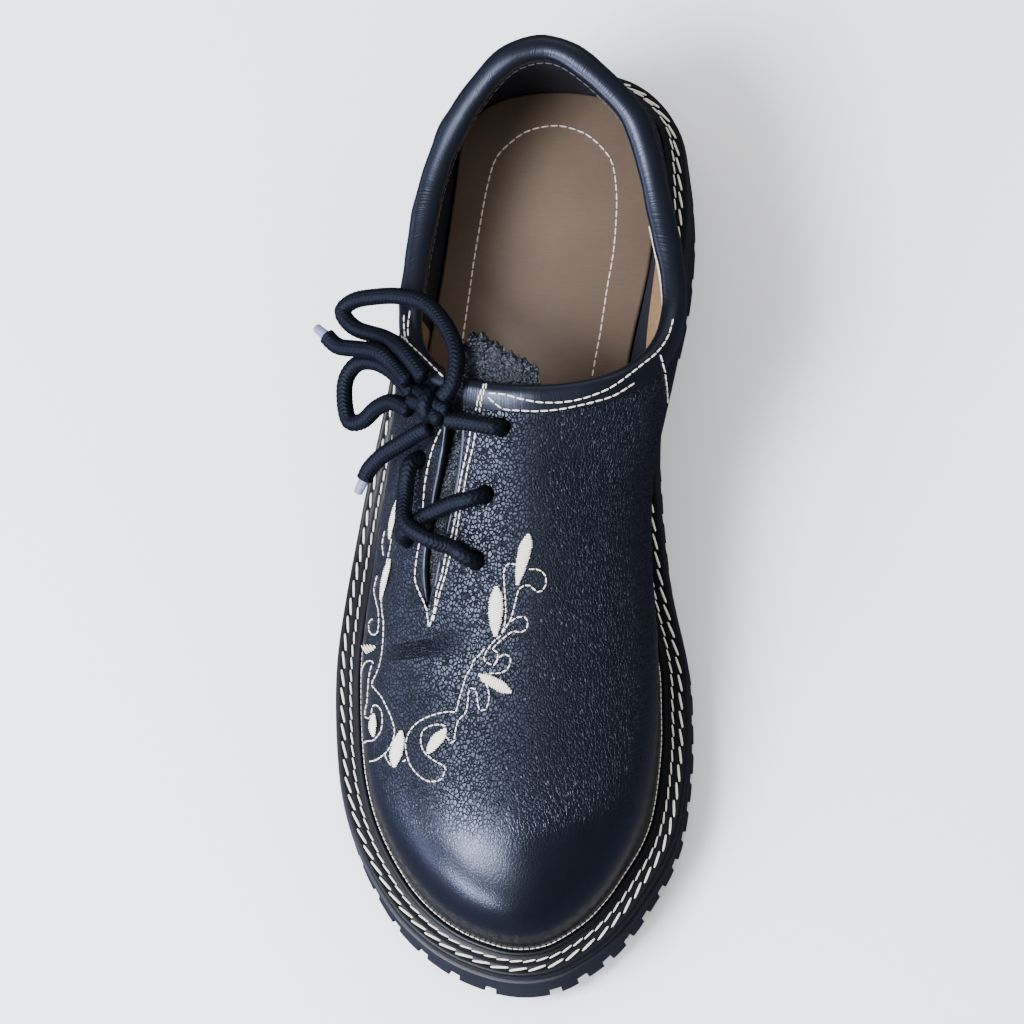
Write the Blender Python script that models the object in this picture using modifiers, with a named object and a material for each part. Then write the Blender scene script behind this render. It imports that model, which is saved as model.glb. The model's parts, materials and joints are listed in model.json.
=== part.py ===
"""The right shoe of a pair of men's black leather shoes, laced at the outer side.

A vamp and quarters in one leather upper stand on a stitched welt, a midsole and a lugged rubber
outsole with a heel block. A padded collar rims the opening, a tongue lies under the lacing slit, and
a round cord is laced through punched holes and tied in a bow at the outer side.

Frame: the toe points to -Y, the outer (lateral) side is at -X, +Z is up, and the floor is at z = 0.
A station is the distance from the heel end of the sole towards the toe. Angles run round the sole
from the heel end, 0, along the outer side to the toe tip, pi, and back along the inner side.
"""
import bpy
import bmesh
from collections import namedtuple
from math import acos, cos, hypot, pi, radians, sin
from mathutils import Matrix, Vector
from mathutils.bvhtree import BVHTree

# Driving sizes of the shoe, in metres
SOLE_LENGTH = 0.305
BALL_WIDTH = 0.115
HEEL_WIDTH = 0.0875
FOREPART_HEIGHT = 0.021
HEEL_SEAT_HEIGHT = 0.037
TOE_SPRING = 0.0095
INSTEP_HEIGHT = 0.100
TOE_BOX_HEIGHT = 0.0645
COLLAR_HEIGHT = 0.098
GAP = 0.0003

# Layers of the sole
WELT_THICKNESS = 0.003
MIDSOLE_THICKNESS = 0.004
OUTSOLE_PLATE = 0.0085
LIP_HEIGHT = 0.0038
LIP_STEP = 0.0008
TOE_FLARE = 0.0016
WELT_SETBACK = 0.001
WELT_BEVEL = 0.0005
RIB_WIDTH = 0.0015
RIB_HEIGHT = 0.0014
RIB_CLEARANCE = 0.0005
INSOLE_THICKNESS = 0.005

# Tread
LUG_DEPTH = 0.005
LUG_PITCH = 0.0125
LUG_GAP = 0.0032
LUG_REACH = 0.0165
CHANNEL_WIDTH = 0.0035
LATERAL_PITCH = 0.0128
MEDIAL_PITCH = 0.0098
TOE_PITCH = 0.0210
TREAD_START = 0.130
TREAD_BEVEL = 0.004
CHEVRON_START = 0.150
CHEVRON_PITCH = 0.0175
CHEVRON_COUNT = 8
CHEVRON_RAKE = 0.010
HEEL_LENGTH = 0.088
BREAST_CURVE = 0.006
HEEL_BAR_PITCH = 0.022

# Leather, lining and lace
UPPER_WALL = 0.002
FOOT_RISE = 0.0025
TONGUE_WALL = 0.0018
TONGUE_CLEARANCE = 0.0006
COLLAR_BACKING = 0.0032
FLAP_REACH = 0.024
COLLAR_DEPTH = 0.0085
COLLAR_GAP = 0.0004
INSOLE_CLEARANCE = 0.0005
SLIT_WIDTH = 0.0075
EYELET_DIAMETER = 0.0062
LACE_DIAMETER = 0.0052
LACE_STEP = 1.2 * LACE_DIAMETER
LACE_DIP = 0.0016
AGLET_DIAMETER = 0.0034
AGLET_LENGTH = 0.0060
KNOT_LENGTH = 0.0145
KNOT_WIDTH = 0.0092

# Where the upper's foot stands, inside the edge of the sole
HEEL_REACH = 0.007
SIDE_REACH = 0.0093
TOE_REACH = 0.011

# How finely the curved pieces are divided
HALF_RING = 36
COLLAR_COLUMNS = 22
RIDGE_COLUMNS = 18
WALL_ROWS = 11
EASING_ROUNDS = 4

# Half-widths of the sole, as shares of its width at that station. Stations are shares of its length.
OutlineRow = namedtuple("OutlineRow", "station share")
HEEL_TIP_SHARE = 0.029
TOE_TIP_SHARE = -0.006
LATERAL = [
    OutlineRow(0.010, 0.211),
    OutlineRow(0.033, 0.343),
    OutlineRow(0.072, 0.434),
    OutlineRow(0.144, 0.471),
    OutlineRow(0.246, 0.514),
    OutlineRow(0.361, 0.537),
    OutlineRow(0.492, 0.540),
    OutlineRow(0.623, 0.557),
    OutlineRow(0.689, 0.559),
    OutlineRow(0.770, 0.539),
    OutlineRow(0.820, 0.509),
    OutlineRow(0.859, 0.470),
    OutlineRow(0.897, 0.417),
    OutlineRow(0.928, 0.361),
    OutlineRow(0.954, 0.294),
    OutlineRow(0.977, 0.209),
    OutlineRow(0.993, 0.111),
]
MEDIAL = [
    OutlineRow(0.010, 0.269),
    OutlineRow(0.033, 0.400),
    OutlineRow(0.072, 0.491),
    OutlineRow(0.144, 0.529),
    OutlineRow(0.197, 0.528),
    OutlineRow(0.246, 0.512),
    OutlineRow(0.361, 0.413),
    OutlineRow(0.433, 0.372),
    OutlineRow(0.508, 0.365),
    OutlineRow(0.564, 0.377),
    OutlineRow(0.646, 0.426),
    OutlineRow(0.695, 0.437),
    OutlineRow(0.748, 0.440),
    OutlineRow(0.820, 0.423),
    OutlineRow(0.859, 0.394),
    OutlineRow(0.897, 0.344),
    OutlineRow(0.928, 0.296),
    OutlineRow(0.954, 0.242),
    OutlineRow(0.977, 0.170),
    OutlineRow(0.993, 0.097),
]

# The crest of the collar, from the heel to the front of the opening. Stations and sides are shares of
# the sole's length and heel width. Heights run from the lowest point, 0, to the top of the heel, 1, in
# one column, and to the instep, 1, in the next. Flare is the slope from upright of the wall below,
# foot the angle of the place on the sole that the wall stands over, and padding a share of the roll.
COLLAR_DIP_HEIGHT = 0.0825
COLLAR_ROLL = 0.0070
ROLL_BULGE = 0.0006
CollarRow = namedtuple("CollarRow", "station side heel instep flare foot padding")
COLLAR_HEEL = CollarRow(0.0565, 0.023, 1.00, 0.00, 12, 0.0, 1.00)
LATERAL_COLLAR = [
    CollarRow(0.069, -0.108, 0.95, 0.00, 12, 15.0, 1.00),
    CollarRow(0.108, -0.235, 0.64, 0.00, 11, 28.0, 1.00),
    CollarRow(0.151, -0.322, 0.34, 0.00, 10, 38.0, 1.00),
    CollarRow(0.190, -0.368, 0.15, 0.00, 9, 46.5, 1.00),
    CollarRow(0.233, -0.396, 0.04, 0.00, 9, 54.5, 1.00),
    CollarRow(0.275, -0.415, 0.00, 0.00, 9, 62.0, 0.95),
    CollarRow(0.318, -0.424, 0.00, 0.03, 12, 68.5, 0.88),
    CollarRow(0.358, -0.406, 0.00, 0.23, 20, 74.5, 0.78),
    CollarRow(0.391, -0.348, 0.00, 0.54, 34, 79.5, 0.66),
    CollarRow(0.413, -0.249, 0.00, 0.77, 50, 83.0, 0.56),
    CollarRow(0.424, -0.126, 0.00, 0.94, 62, 86.2, 0.50),
]
COLLAR_FRONT = CollarRow(0.427, 0.000, 0.00, 1.00, 67, 89.5, 0.50)
MEDIAL_COLLAR = [
    CollarRow(0.069, 0.140, 0.95, 0.00, 12, 15.0, 1.00),
    CollarRow(0.116, 0.325, 0.60, 0.00, 11, 28.0, 1.00),
    CollarRow(0.153, 0.384, 0.36, 0.00, 10, 38.0, 1.00),
    CollarRow(0.206, 0.432, 0.13, 0.00, 8, 47.0, 1.00),
    CollarRow(0.262, 0.480, 0.04, 0.00, 6, 56.0, 1.00),
    CollarRow(0.292, 0.498, 0.02, 0.02, 6, 63.0, 0.95),
    CollarRow(0.322, 0.500, 0.00, 0.08, 10, 69.0, 0.88),
    CollarRow(0.355, 0.473, 0.00, 0.26, 20, 75.0, 0.78),
    CollarRow(0.386, 0.409, 0.00, 0.53, 36, 80.0, 0.66),
    CollarRow(0.411, 0.296, 0.00, 0.81, 50, 83.5, 0.56),
    CollarRow(0.424, 0.146, 0.00, 0.95, 62, 86.5, 0.50),
]

# The ridge over the instep and vamp, from the collar's front edge, 0, to where it meets the toe, 1.
# Drop is the share of the fall from the instep to the toe box, side a share of the ball width.
RIDGE_END = 0.820
RIDGE_FEET = 0.880
RidgeRow = namedtuple("RidgeRow", "station drop side")
RIDGE = [
    RidgeRow(0.00, 0.000, 0.000),
    RidgeRow(0.17, 0.262, 0.006),
    RidgeRow(0.40, 0.560, 0.006),
    RidgeRow(0.68, 0.831, -0.010),
    RidgeRow(1.00, 1.000, -0.028),
]

# How the wall rises from its foot: lean out of upright in degrees, and the pull of the curve at the
# foot and at the top as shares of the rise and of the run inwards.
WallRow = namedtuple("WallRow", "angle lean foot top")
LATERAL_WALL = [
    WallRow(0, 12, 0.34, 0.34),
    WallRow(30, 10, 0.34, 0.34),
    WallRow(60, 6, 0.34, 0.34),
    WallRow(75, 4, 0.46, 0.42),
    WallRow(85, 2, 0.66, 0.56),
    WallRow(100, 3, 0.68, 0.60),
    WallRow(120, 8, 0.68, 0.62),
    WallRow(150, 6, 0.70, 0.66),
    WallRow(180, 4, 0.70, 0.68),
]
MEDIAL_WALL = [
    WallRow(0, 12, 0.34, 0.34),
    WallRow(30, 10, 0.34, 0.34),
    WallRow(60, 18, 0.36, 0.34),
    WallRow(75, 34, 0.46, 0.42),
    WallRow(85, 36, 0.62, 0.56),
    WallRow(100, 24, 0.64, 0.60),
    WallRow(120, 8, 0.66, 0.62),
    WallRow(150, 6, 0.70, 0.66),
    WallRow(180, 4, 0.70, 0.68),
]

# The lacing slit in the outer side, seen from above, from its foot in the vamp to past the collar.
# Stations are shares of the sole's length, sides of the ball width, widths of the slit's width.
SlitRow = namedtuple("SlitRow", "station side width")
SLIT = [
    SlitRow(0.637, -0.264, 0.10),
    SlitRow(0.620, -0.261, 0.40),
    SlitRow(0.594, -0.256, 0.72),
    SlitRow(0.563, -0.241, 0.92),
    SlitRow(0.526, -0.220, 1.00),
    SlitRow(0.487, -0.201, 0.92),
    SlitRow(0.455, -0.195, 0.85),
    SlitRow(0.424, -0.195, 0.85),
    SlitRow(0.385, -0.191, 0.85),
]
SLIT_LOW = 0.055
SLIT_HIGH = 0.125

# The punched lace holes seen from above, from the top: three in the vamp and three in the quarter
HoleRow = namedtuple("HoleRow", "station side")
VAMP_HOLES = [HoleRow(0.469, -0.062), HoleRow(0.531, -0.106), HoleRow(0.594, -0.130)]
QUARTER_HOLES = [HoleRow(0.437, -0.267), HoleRow(0.488, -0.294), HoleRow(0.563, -0.325)]

# The tongue seen from above: its two edges as shares of the ball width, how much further forward its
# inner edge is than its outer one, and how far it has sunk clear of the collar's backing.
TongueRow = namedtuple("TongueRow", "station outer inner skew sunk")
TONGUE = [
    TongueRow(0.668, -0.315, -0.200, 0.000, 0.0),
    TongueRow(0.630, -0.345, -0.130, 0.000, 0.0),
    TongueRow(0.585, -0.360, -0.075, 0.000, 0.0),
    TongueRow(0.540, -0.350, -0.050, 0.000, 0.0),
    TongueRow(0.505, -0.330, -0.020, 0.004, 0.3),
    TongueRow(0.475, -0.305, 0.005, 0.010, 0.8),
    TongueRow(0.448, -0.265, 0.030, 0.016, 1.0),
    TongueRow(0.425, -0.230, 0.045, 0.024, 1.0),
    TongueRow(0.409, -0.188, 0.042, 0.027, 1.0),
    TongueRow(0.397, -0.145, 0.038, 0.028, 1.0),
]
TONGUE_COLUMNS = 8

# The laced runs over the slit. Heights above the leather are in lace diameters.
RunRow = namedtuple("RunRow", "station side height")
LOWER_RUN = [RunRow(0.538, -0.190, 0.62), RunRow(0.547, -0.258, 0.60)]
UPPER_RUN = [
    RunRow(0.579, -0.186, 0.75),
    RunRow(0.568, -0.238, 1.35),
    RunRow(0.550, -0.284, 1.45),
    RunRow(0.522, -0.302, 0.90),
]
BAR_RUN = [RunRow(0.465, -0.115, 0.72), RunRow(0.461, -0.157, 0.90), RunRow(0.458, -0.186, 1.05)]

# The bow, as routes from the knot and back. Stations are shares of the sole's length, sides of the
# ball width, heights of the instep height.
RouteRow = namedtuple("RouteRow", "station side height")
KNOT = RouteRow(0.443, -0.261, 0.950)
KNOT_TILT = 30
KNOT_TURN = 42
LARGE_LOOP = [
    RouteRow(0.442, -0.220, 0.995),
    RouteRow(0.427, -0.190, 1.020),
    RouteRow(0.398, -0.184, 1.025),
    RouteRow(0.367, -0.214, 0.995),
    RouteRow(0.336, -0.278, 0.950),
    RouteRow(0.322, -0.355, 0.900),
    RouteRow(0.317, -0.428, 0.850),
    RouteRow(0.316, -0.491, 0.800),
    RouteRow(0.325, -0.525, 0.770),
    RouteRow(0.345, -0.485, 0.790),
    RouteRow(0.363, -0.397, 0.860),
    RouteRow(0.385, -0.339, 0.945),
    RouteRow(0.419, -0.274, 0.990),
]
SMALL_LOOP = [
    RouteRow(0.426, -0.313, 0.900),
    RouteRow(0.400, -0.367, 0.850),
    RouteRow(0.384, -0.422, 0.805),
    RouteRow(0.380, -0.476, 0.760),
    RouteRow(0.393, -0.510, 0.730),
    RouteRow(0.415, -0.514, 0.715),
    RouteRow(0.438, -0.498, 0.715),
    RouteRow(0.441, -0.459, 0.745),
    RouteRow(0.432, -0.414, 0.800),
    RouteRow(0.432, -0.368, 0.855),
    RouteRow(0.445, -0.319, 0.900),
]
UPPER_END = [
    RouteRow(0.419, -0.321, 0.950),
    RouteRow(0.399, -0.361, 0.915),
    RouteRow(0.382, -0.409, 0.890),
    RouteRow(0.373, -0.470, 0.840),
    RouteRow(0.365, -0.530, 0.790),
    RouteRow(0.353, -0.565, 0.780),
]
LOWER_END = [
    RouteRow(0.468, -0.258, 0.930),
    RouteRow(0.470, -0.290, 0.900),
    RouteRow(0.475, -0.337, 0.845),
    RouteRow(0.481, -0.391, 0.785),
    RouteRow(0.491, -0.432, 0.740),
    RouteRow(0.502, -0.449, 0.720),
]


def curve_through(keys, values, at):
    """Read a smooth curve through the values at their keys, straight on past the ends."""
    last = len(keys) - 1
    i = 0
    while i < last - 1 and at > keys[i + 1]:
        i += 1
    slopes = []
    for k in (i, i + 1):
        a = max(k - 1, 0)
        b = min(k + 1, last)
        slopes.append((values[b] - values[a]) / (keys[b] - keys[a]))
    span = keys[i + 1] - keys[i]
    u = min(max((at - keys[i]) / span, 0.0), 1.0)
    h00 = 2 * u ** 3 - 3 * u ** 2 + 1
    h10 = u ** 3 - 2 * u ** 2 + u
    h01 = -2 * u ** 3 + 3 * u ** 2
    h11 = u ** 3 - u ** 2
    return h00 * values[i] + h10 * span * slopes[0] + h01 * values[i + 1] + h11 * span * slopes[1]


def smooth_step(at, low, high):
    u = min(max((at - low) / (high - low), 0.0), 1.0)
    return u * u * (3 - 2 * u)


def station_angle(station):
    """The angle round the sole at which a side reaches a station."""
    share = min(max(station / SOLE_LENGTH, 0.0), 1.0)
    return acos(1 - 2 * share)


def width_at(share):
    return HEEL_WIDTH + (BALL_WIDTH - HEEL_WIDTH) * smooth_step(share, 0.25, 0.60)


def outline_knots():
    """Angles and side distances of the sole's edge, once round with a little overlap."""
    ring = [(0.0, HEEL_TIP_SHARE * HEEL_WIDTH)]
    for row in LATERAL:
        ring.append((acos(1 - 2 * row.station), -row.share * width_at(row.station)))
    ring.append((pi, TOE_TIP_SHARE * BALL_WIDTH))
    for row in reversed(MEDIAL):
        ring.append((2 * pi - acos(1 - 2 * row.station), row.share * width_at(row.station)))
    before = [(angle - 2 * pi, x) for angle, x in ring[-2:]]
    after = [(angle + 2 * pi, x) for angle, x in ring[:3]]
    knots = before + ring + after
    return [k[0] for k in knots], [k[1] for k in knots]


OUTLINE_ANGLES, OUTLINE_SIDES = outline_knots()


def edge_point(angle):
    """A point of the sole's edge seen from above, as (x, y)."""
    turn = angle % (2 * pi)
    station = SOLE_LENGTH * (1 - cos(turn)) / 2
    return Vector((curve_through(OUTLINE_ANGLES, OUTLINE_SIDES, turn), SOLE_LENGTH / 2 - station))


def outward(angle):
    """The direction out of the sole's edge, seen from above."""
    step = 0.01
    along = edge_point(angle + step) - edge_point(angle - step)
    return Vector((along.y, -along.x)).normalized()


def inset_point(angle, inset):
    return edge_point(angle) - outward(angle) * inset


def station_of(y):
    return SOLE_LENGTH / 2 - y


def toe_share(angle):
    return smooth_step(pi - abs(pi - angle % (2 * pi)), radians(120), radians(180))


def flare(angle):
    return TOE_FLARE * toe_share(angle)


def reach(angle):
    """How far the upper's foot stands inside the sole's edge."""
    from_heel = pi - abs(pi - angle % (2 * pi))
    side = smooth_step(from_heel, radians(0), radians(75))
    return HEEL_REACH + (SIDE_REACH - HEEL_REACH) * side + (TOE_REACH - SIDE_REACH) * toe_share(angle)


def spring(station):
    """How far the sole lifts off the floor towards the toe."""
    start = 0.70 * SOLE_LENGTH
    lift = max(0.0, (station - start) / (SOLE_LENGTH - start))
    return TOE_SPRING * lift ** 1.6


def welt_top(station):
    share = station / SOLE_LENGTH
    heel = 1 - smooth_step(share, 0.290, 0.545)
    return FOREPART_HEIGHT + (HEEL_SEAT_HEIGHT - FOREPART_HEIGHT) * heel + spring(station)


def midsole_top(station):
    return welt_top(station) - WELT_THICKNESS - GAP


def outsole_top(station):
    return midsole_top(station) - MIDSOLE_THICKNESS - GAP


def plate_bottom(station):
    return outsole_top(station) - OUTSOLE_PLATE


def tread_bottom(station):
    return spring(station) if station > TREAD_START else plate_bottom(station)


def ring_angles():
    return [2 * pi * k / (2 * HALF_RING) for k in range(2 * HALF_RING)]


# Building meshes

def new_material(name, colour, roughness, metallic=0.0):
    material = bpy.data.materials.new(name)
    material.use_nodes = True
    shader = material.node_tree.nodes["Principled BSDF"]
    shader.inputs["Base Color"].default_value = (*colour, 1)
    shader.inputs["Roughness"].default_value = roughness
    shader.inputs["Metallic"].default_value = metallic
    return material


def add_object(name, mesh, material, collection, parent):
    thing = bpy.data.objects.new(name, mesh)
    mesh.materials.clear()
    mesh.materials.append(material)
    collection.objects.link(thing)
    thing.parent = parent
    mesh.shade_smooth()
    mesh.set_sharp_from_angle(angle=radians(35))
    return thing


def mesh_from(name, points, faces, outwards=True):
    """A mesh of points and faces, with doubles merged and its faces turned outwards."""
    shape = bmesh.new()
    verts = [shape.verts.new(p) for p in points]
    for face in faces:
        corners = []
        for i in face:
            if verts[i] not in corners:
                corners.append(verts[i])
        if len(corners) > 2:
            shape.faces.new(corners)
    bmesh.ops.remove_doubles(shape, verts=shape.verts, dist=0.00002)
    if outwards:
        bmesh.ops.recalc_face_normals(shape, faces=shape.faces)
    mesh = bpy.data.meshes.new(name)
    shape.to_mesh(mesh)
    shape.free()
    return mesh


def layered_plate(name, layers, angles):
    """A closed plate of the sole's plan from layers of (inset, height), which are functions."""
    count = len(angles)
    points = []
    for inset, height in layers:
        for angle in angles:
            spot = inset_point(angle, inset(angle))
            points.append((spot.x, spot.y, height(station_of(spot.y))))
    faces = []
    for layer in range(len(layers) - 1):
        for k in range(count):
            a = layer * count + k
            b = layer * count + (k + 1) % count
            faces.append((a, b, b + count, a + count))
    for start in (0, (len(layers) - 1) * count):
        for k in range(count // 2):
            left = (start + k, start + k + 1)
            right = (start + (count - k) % count, start + count - k - 1)
            faces.append((left[0], left[1], right[1], right[0]))
    return mesh_from(name, points, faces)


def modify(thing, kind, **settings):
    modifier = thing.modifiers.new(kind.title(), kind)
    for key, value in settings.items():
        setattr(modifier, key, value)
    return modifier


def cut(thing, cutters):
    modifier = modify(thing, "BOOLEAN", operation="DIFFERENCE", solver="EXACT")
    modifier.operand_type = "COLLECTION"
    modifier.collection = cutters
    return modifier


# The last: where each column of the upper's wall ends, and how it rises

def collar_ring():
    """Knots of the crest once round: distances along it, and one list of values for each column."""
    rows = [COLLAR_HEEL] + LATERAL_COLLAR + [COLLAR_FRONT] + MEDIAL_COLLAR[::-1]
    points = []
    for row in rows:
        heel_rise = row.heel * (COLLAR_HEIGHT - COLLAR_DIP_HEIGHT)
        instep_rise = row.instep * (INSTEP_HEIGHT - COLLAR_DIP_HEIGHT)
        points.append((row.side * HEEL_WIDTH, SOLE_LENGTH * (0.5 - row.station),
                       COLLAR_DIP_HEIGHT + heel_rise + instep_rise,
                       radians(row.flare), row.padding))
    distances = [0.0]
    for a, b in zip(points, points[1:] + points[:1]):
        distances.append(distances[-1] + hypot(a[0] - b[0], a[1] - b[1], a[2] - b[2]))
    around = distances[-1]
    keys = [d - around for d in distances[-3:-1]] + distances[:-1] + [d + around for d in distances[:3]]
    wrapped = points[-2:] + points + points[:3]
    return distances, keys, [list(values) for values in zip(*wrapped)]


CREST_DISTANCES, CREST_KEYS, CREST_COLUMNS = collar_ring()
CREST_LENGTH = CREST_DISTANCES[-1]
CREST_FRONT = CREST_DISTANCES[len(LATERAL_COLLAR) + 1]


def foot_angle(distance, medial):
    """The angle of the sole under a place on the crest, with the front seen from either side."""
    lateral_feet = [0.0] + [row.foot for row in LATERAL_COLLAR] + [COLLAR_FRONT.foot]
    medial_feet = [360 - COLLAR_FRONT.foot] + [360 - row.foot for row in MEDIAL_COLLAR[::-1]] + [360.0]
    front = len(LATERAL_COLLAR) + 1
    if medial:
        keys = CREST_DISTANCES[front:] + [CREST_LENGTH + CREST_DISTANCES[1]]
        values = medial_feet + [360 + lateral_feet[1]]
    else:
        keys = [CREST_DISTANCES[-2] - CREST_LENGTH] + CREST_DISTANCES[:front + 1]
        values = [medial_feet[-2] - 360] + lateral_feet
    return radians(curve_through(keys, values, distance))


def crest(distance):
    """The collar's frame at a distance round its crest: point, down the wall, out of it, half width."""
    x, y, z, slope, padding = [curve_through(CREST_KEYS, c, distance) for c in CREST_COLUMNS]
    step = 0.002
    ahead = [curve_through(CREST_KEYS, c, distance + step) for c in CREST_COLUMNS[:2]]
    behind = [curve_through(CREST_KEYS, c, distance - step) for c in CREST_COLUMNS[:2]]
    side = Vector((ahead[1] - behind[1], behind[0] - ahead[0], 0)).normalized()
    down = side * sin(slope) - Vector((0, 0, cos(slope)))
    out = side * cos(slope) + Vector((0, 0, sin(slope)))
    return Vector((x, y, z)), down, out, padding * COLLAR_ROLL / 2


def collar_foot(distance):
    """Where the collar's lower edge meets the upper: the point and the normal of the wall there."""
    point, down, out, half = crest(distance)
    return point + down * COLLAR_DEPTH + out * half, out


FRONT_POINT = collar_foot(CREST_FRONT)[0]


def ridge(share):
    """The ridge over the instep and vamp: the point and the normal of the leather there."""
    keys = [row.station for row in RIDGE]

    def spot(at):
        start = station_of(FRONT_POINT.y)
        station = start + (RIDGE_END * SOLE_LENGTH - start) * at
        drop = curve_through(keys, [row.drop for row in RIDGE], at)
        side = curve_through(keys, [row.side for row in RIDGE], at)
        height = FRONT_POINT.z + (TOE_BOX_HEIGHT - FRONT_POINT.z) * drop
        return Vector((FRONT_POINT.x + side * BALL_WIDTH, SOLE_LENGTH / 2 - station, height))

    step = 0.01
    along = spot(min(share + step, 1.0)) - spot(max(share - step, 0.0))
    normal = along.cross(Vector((1, 0, 0))).normalized()
    return spot(share), normal if normal.z > 0 else -normal


def wall_column(top, normal, angle):
    """One column of the upper's outer face, from the welt up to the top point."""
    medial = angle % (2 * pi) > pi
    table = MEDIAL_WALL if medial else LATERAL_WALL
    turn = pi - abs(pi - angle % (2 * pi))
    keys = [radians(row.angle) for row in table]
    lean = radians(curve_through(keys, [row.lean for row in table], turn))
    foot_pull = curve_through(keys, [row.foot for row in table], turn)
    top_pull = curve_through(keys, [row.top for row in table], turn)
    plan = inset_point(angle, reach(angle))
    foot = Vector((plan.x, plan.y, welt_top(station_of(plan.y)) + GAP))
    start = foot + Vector((0, 0, FOOT_RISE))
    side = outward(angle).to_3d()
    rise = top.z - start.z
    across = top - start
    run = across - normal * across.dot(normal)
    leave = start + (Vector((0, 0, cos(lean))) + side * sin(lean)) * foot_pull * rise
    arrive = top - run * top_pull
    column = [foot]
    for j in range(WALL_ROWS + 1):
        v = j / WALL_ROWS
        w = 1 - v
        column.append(start * w ** 3 + leave * 3 * w * w * v + arrive * 3 * w * v * v + top * v ** 3)
    return column


def ridge_share(angle):
    """How far along the ridge a column meets it: all those from the toe's end meet at its tip."""
    first = cos(radians(COLLAR_FRONT.foot))
    reached = min((first - cos(angle)) / (first - 1 + 2 * RIDGE_FEET), 1.0)
    return (reached - reached ** 4 / 4) / 0.75


def crest_distances():
    """Even steps round the crest, with one at the heel and one at the front."""
    back = CREST_LENGTH - CREST_FRONT
    out = [CREST_FRONT * k / COLLAR_COLUMNS for k in range(COLLAR_COLUMNS)]
    return out + [CREST_FRONT + back * k / COLLAR_COLUMNS for k in range(COLLAR_COLUMNS)]


def wall_tops():
    """Top point, normal and foot angle of each column, from the heel round the toe and back."""
    distances = crest_distances()
    tops = []
    for distance in distances[:COLLAR_COLUMNS] + [CREST_FRONT]:
        tops.append((*collar_foot(distance), foot_angle(distance, medial=False)))
    first = radians(COLLAR_FRONT.foot)
    angles = [first + (pi - first) * k / RIDGE_COLUMNS for k in range(1, RIDGE_COLUMNS + 1)]
    for angle in angles:
        tops.append((*ridge(ridge_share(angle)), angle))
    for angle in reversed(angles[:-1]):
        tops.append((*ridge(ridge_share(angle)), 2 * pi - angle))
    for distance in distances[COLLAR_COLUMNS:]:
        tops.append((*collar_foot(distance), foot_angle(distance, medial=True)))
    return tops


def sheet_of(columns):
    """Points and faces of a sheet that runs once round, from its columns."""
    rows = len(columns[0])
    points = [p for column in columns for p in column]
    faces = []
    for c in range(len(columns)):
        after = (c + 1) % len(columns)
        for r in range(rows - 1):
            faces.append((c * rows + r, after * rows + r, after * rows + r + 1, c * rows + r + 1))
    return points, faces


def upper_skin(name):
    """The upper's outer face as one open sheet, with its creases between columns eased away."""
    points, faces = sheet_of([wall_column(*top) for top in wall_tops()])
    mesh = mesh_from(name, points, faces, outwards=False)
    shape = bmesh.new()
    shape.from_mesh(mesh)
    fixed = {v for v in shape.verts if v.is_boundary}
    foot = {e.other_vert(v) for v in fixed for e in v.link_edges}
    free = [v for v in shape.verts if v not in fixed and v not in foot]
    for k in range(EASING_ROUNDS):
        bmesh.ops.smooth_vert(shape, verts=free, factor=0.5, use_axis_x=True, use_axis_y=True,
                              use_axis_z=True)
    shape.to_mesh(mesh)
    shape.free()
    return mesh


def collar_roll(name):
    """The padded roll round the opening: a rounded section carried round the crest."""
    section = [(1.0, 1.0), (0.6, 1.15), (0.25, 1.05), (0.06, 0.6), (0.0, 0.0), (0.06, -0.6),
               (0.25, -1.0), (0.6, -1.05), (1.0, -0.85)]
    points = []
    for distance in crest_distances():
        point, down, out, half = crest(distance)
        for depth, swell in section:
            bulge = ROLL_BULGE if swell > 0 else 0.0
            points.append(point + down * depth * (COLLAR_DEPTH - COLLAR_GAP) + out * (half + bulge) * swell)
    count = len(section)
    steps = len(points) // count
    faces = []
    for k in range(steps):
        for i in range(count):
            a = k * count + i
            b = k * count + (i + 1) % count
            c = (k + 1) % steps * count + (i + 1) % count
            d = (k + 1) % steps * count + i
            faces.append((a, d, c, b))
    return mesh_from(name, points, faces)


def prism(name, plan, low, high):
    """An upright block of a plan given as points once round it."""
    count = len(plan)
    points = [(x, y, z) for z in (low, high) for x, y in plan]
    faces = [(i, (i + 1) % count, count + (i + 1) % count, count + i) for i in range(count)]
    faces.append(tuple(range(count)))
    faces.append(tuple(range(2 * count - 1, count - 1, -1)))
    return mesh_from(name, points, faces)


def rod(name, start, end, diameter, sides=16):
    """A round rod between two points."""
    along = end - start
    shape = bmesh.new()
    bmesh.ops.create_cone(shape, cap_ends=True, segments=sides, radius1=diameter / 2,
                          radius2=diameter / 2, depth=along.length)
    bmesh.ops.rotate(shape, verts=shape.verts, matrix=along.to_track_quat("Z", "Y").to_matrix())
    bmesh.ops.translate(shape, verts=shape.verts, vec=(start + end) / 2)
    mesh = bpy.data.meshes.new(name)
    shape.to_mesh(mesh)
    shape.free()
    return mesh


# Where things lie on the leather

def leather_tree(skin):
    """The upper's outer face, carried on past the crest, as something to drop points on."""
    points = [v.co.copy() for v in skin.vertices]
    faces = [tuple(face.vertices) for face in skin.polygons]
    distances = crest_distances()
    first = len(points)
    for k, distance in enumerate(distances):
        point, down, out, half = crest(distance)
        near_front = COLLAR_COLUMNS / 2 < k < COLLAR_COLUMNS * 3 / 2
        carried = COLLAR_DEPTH + (FLAP_REACH if near_front else 0.0)
        foot = point + down * COLLAR_DEPTH + out * half
        points += [foot, foot - down * carried]
    for k in range(len(distances)):
        a = first + 2 * k
        b = first + 2 * ((k + 1) % len(distances))
        faces.append((a, b, b + 1, a + 1))
    return BVHTree.FromPolygons(points, faces)


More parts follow.
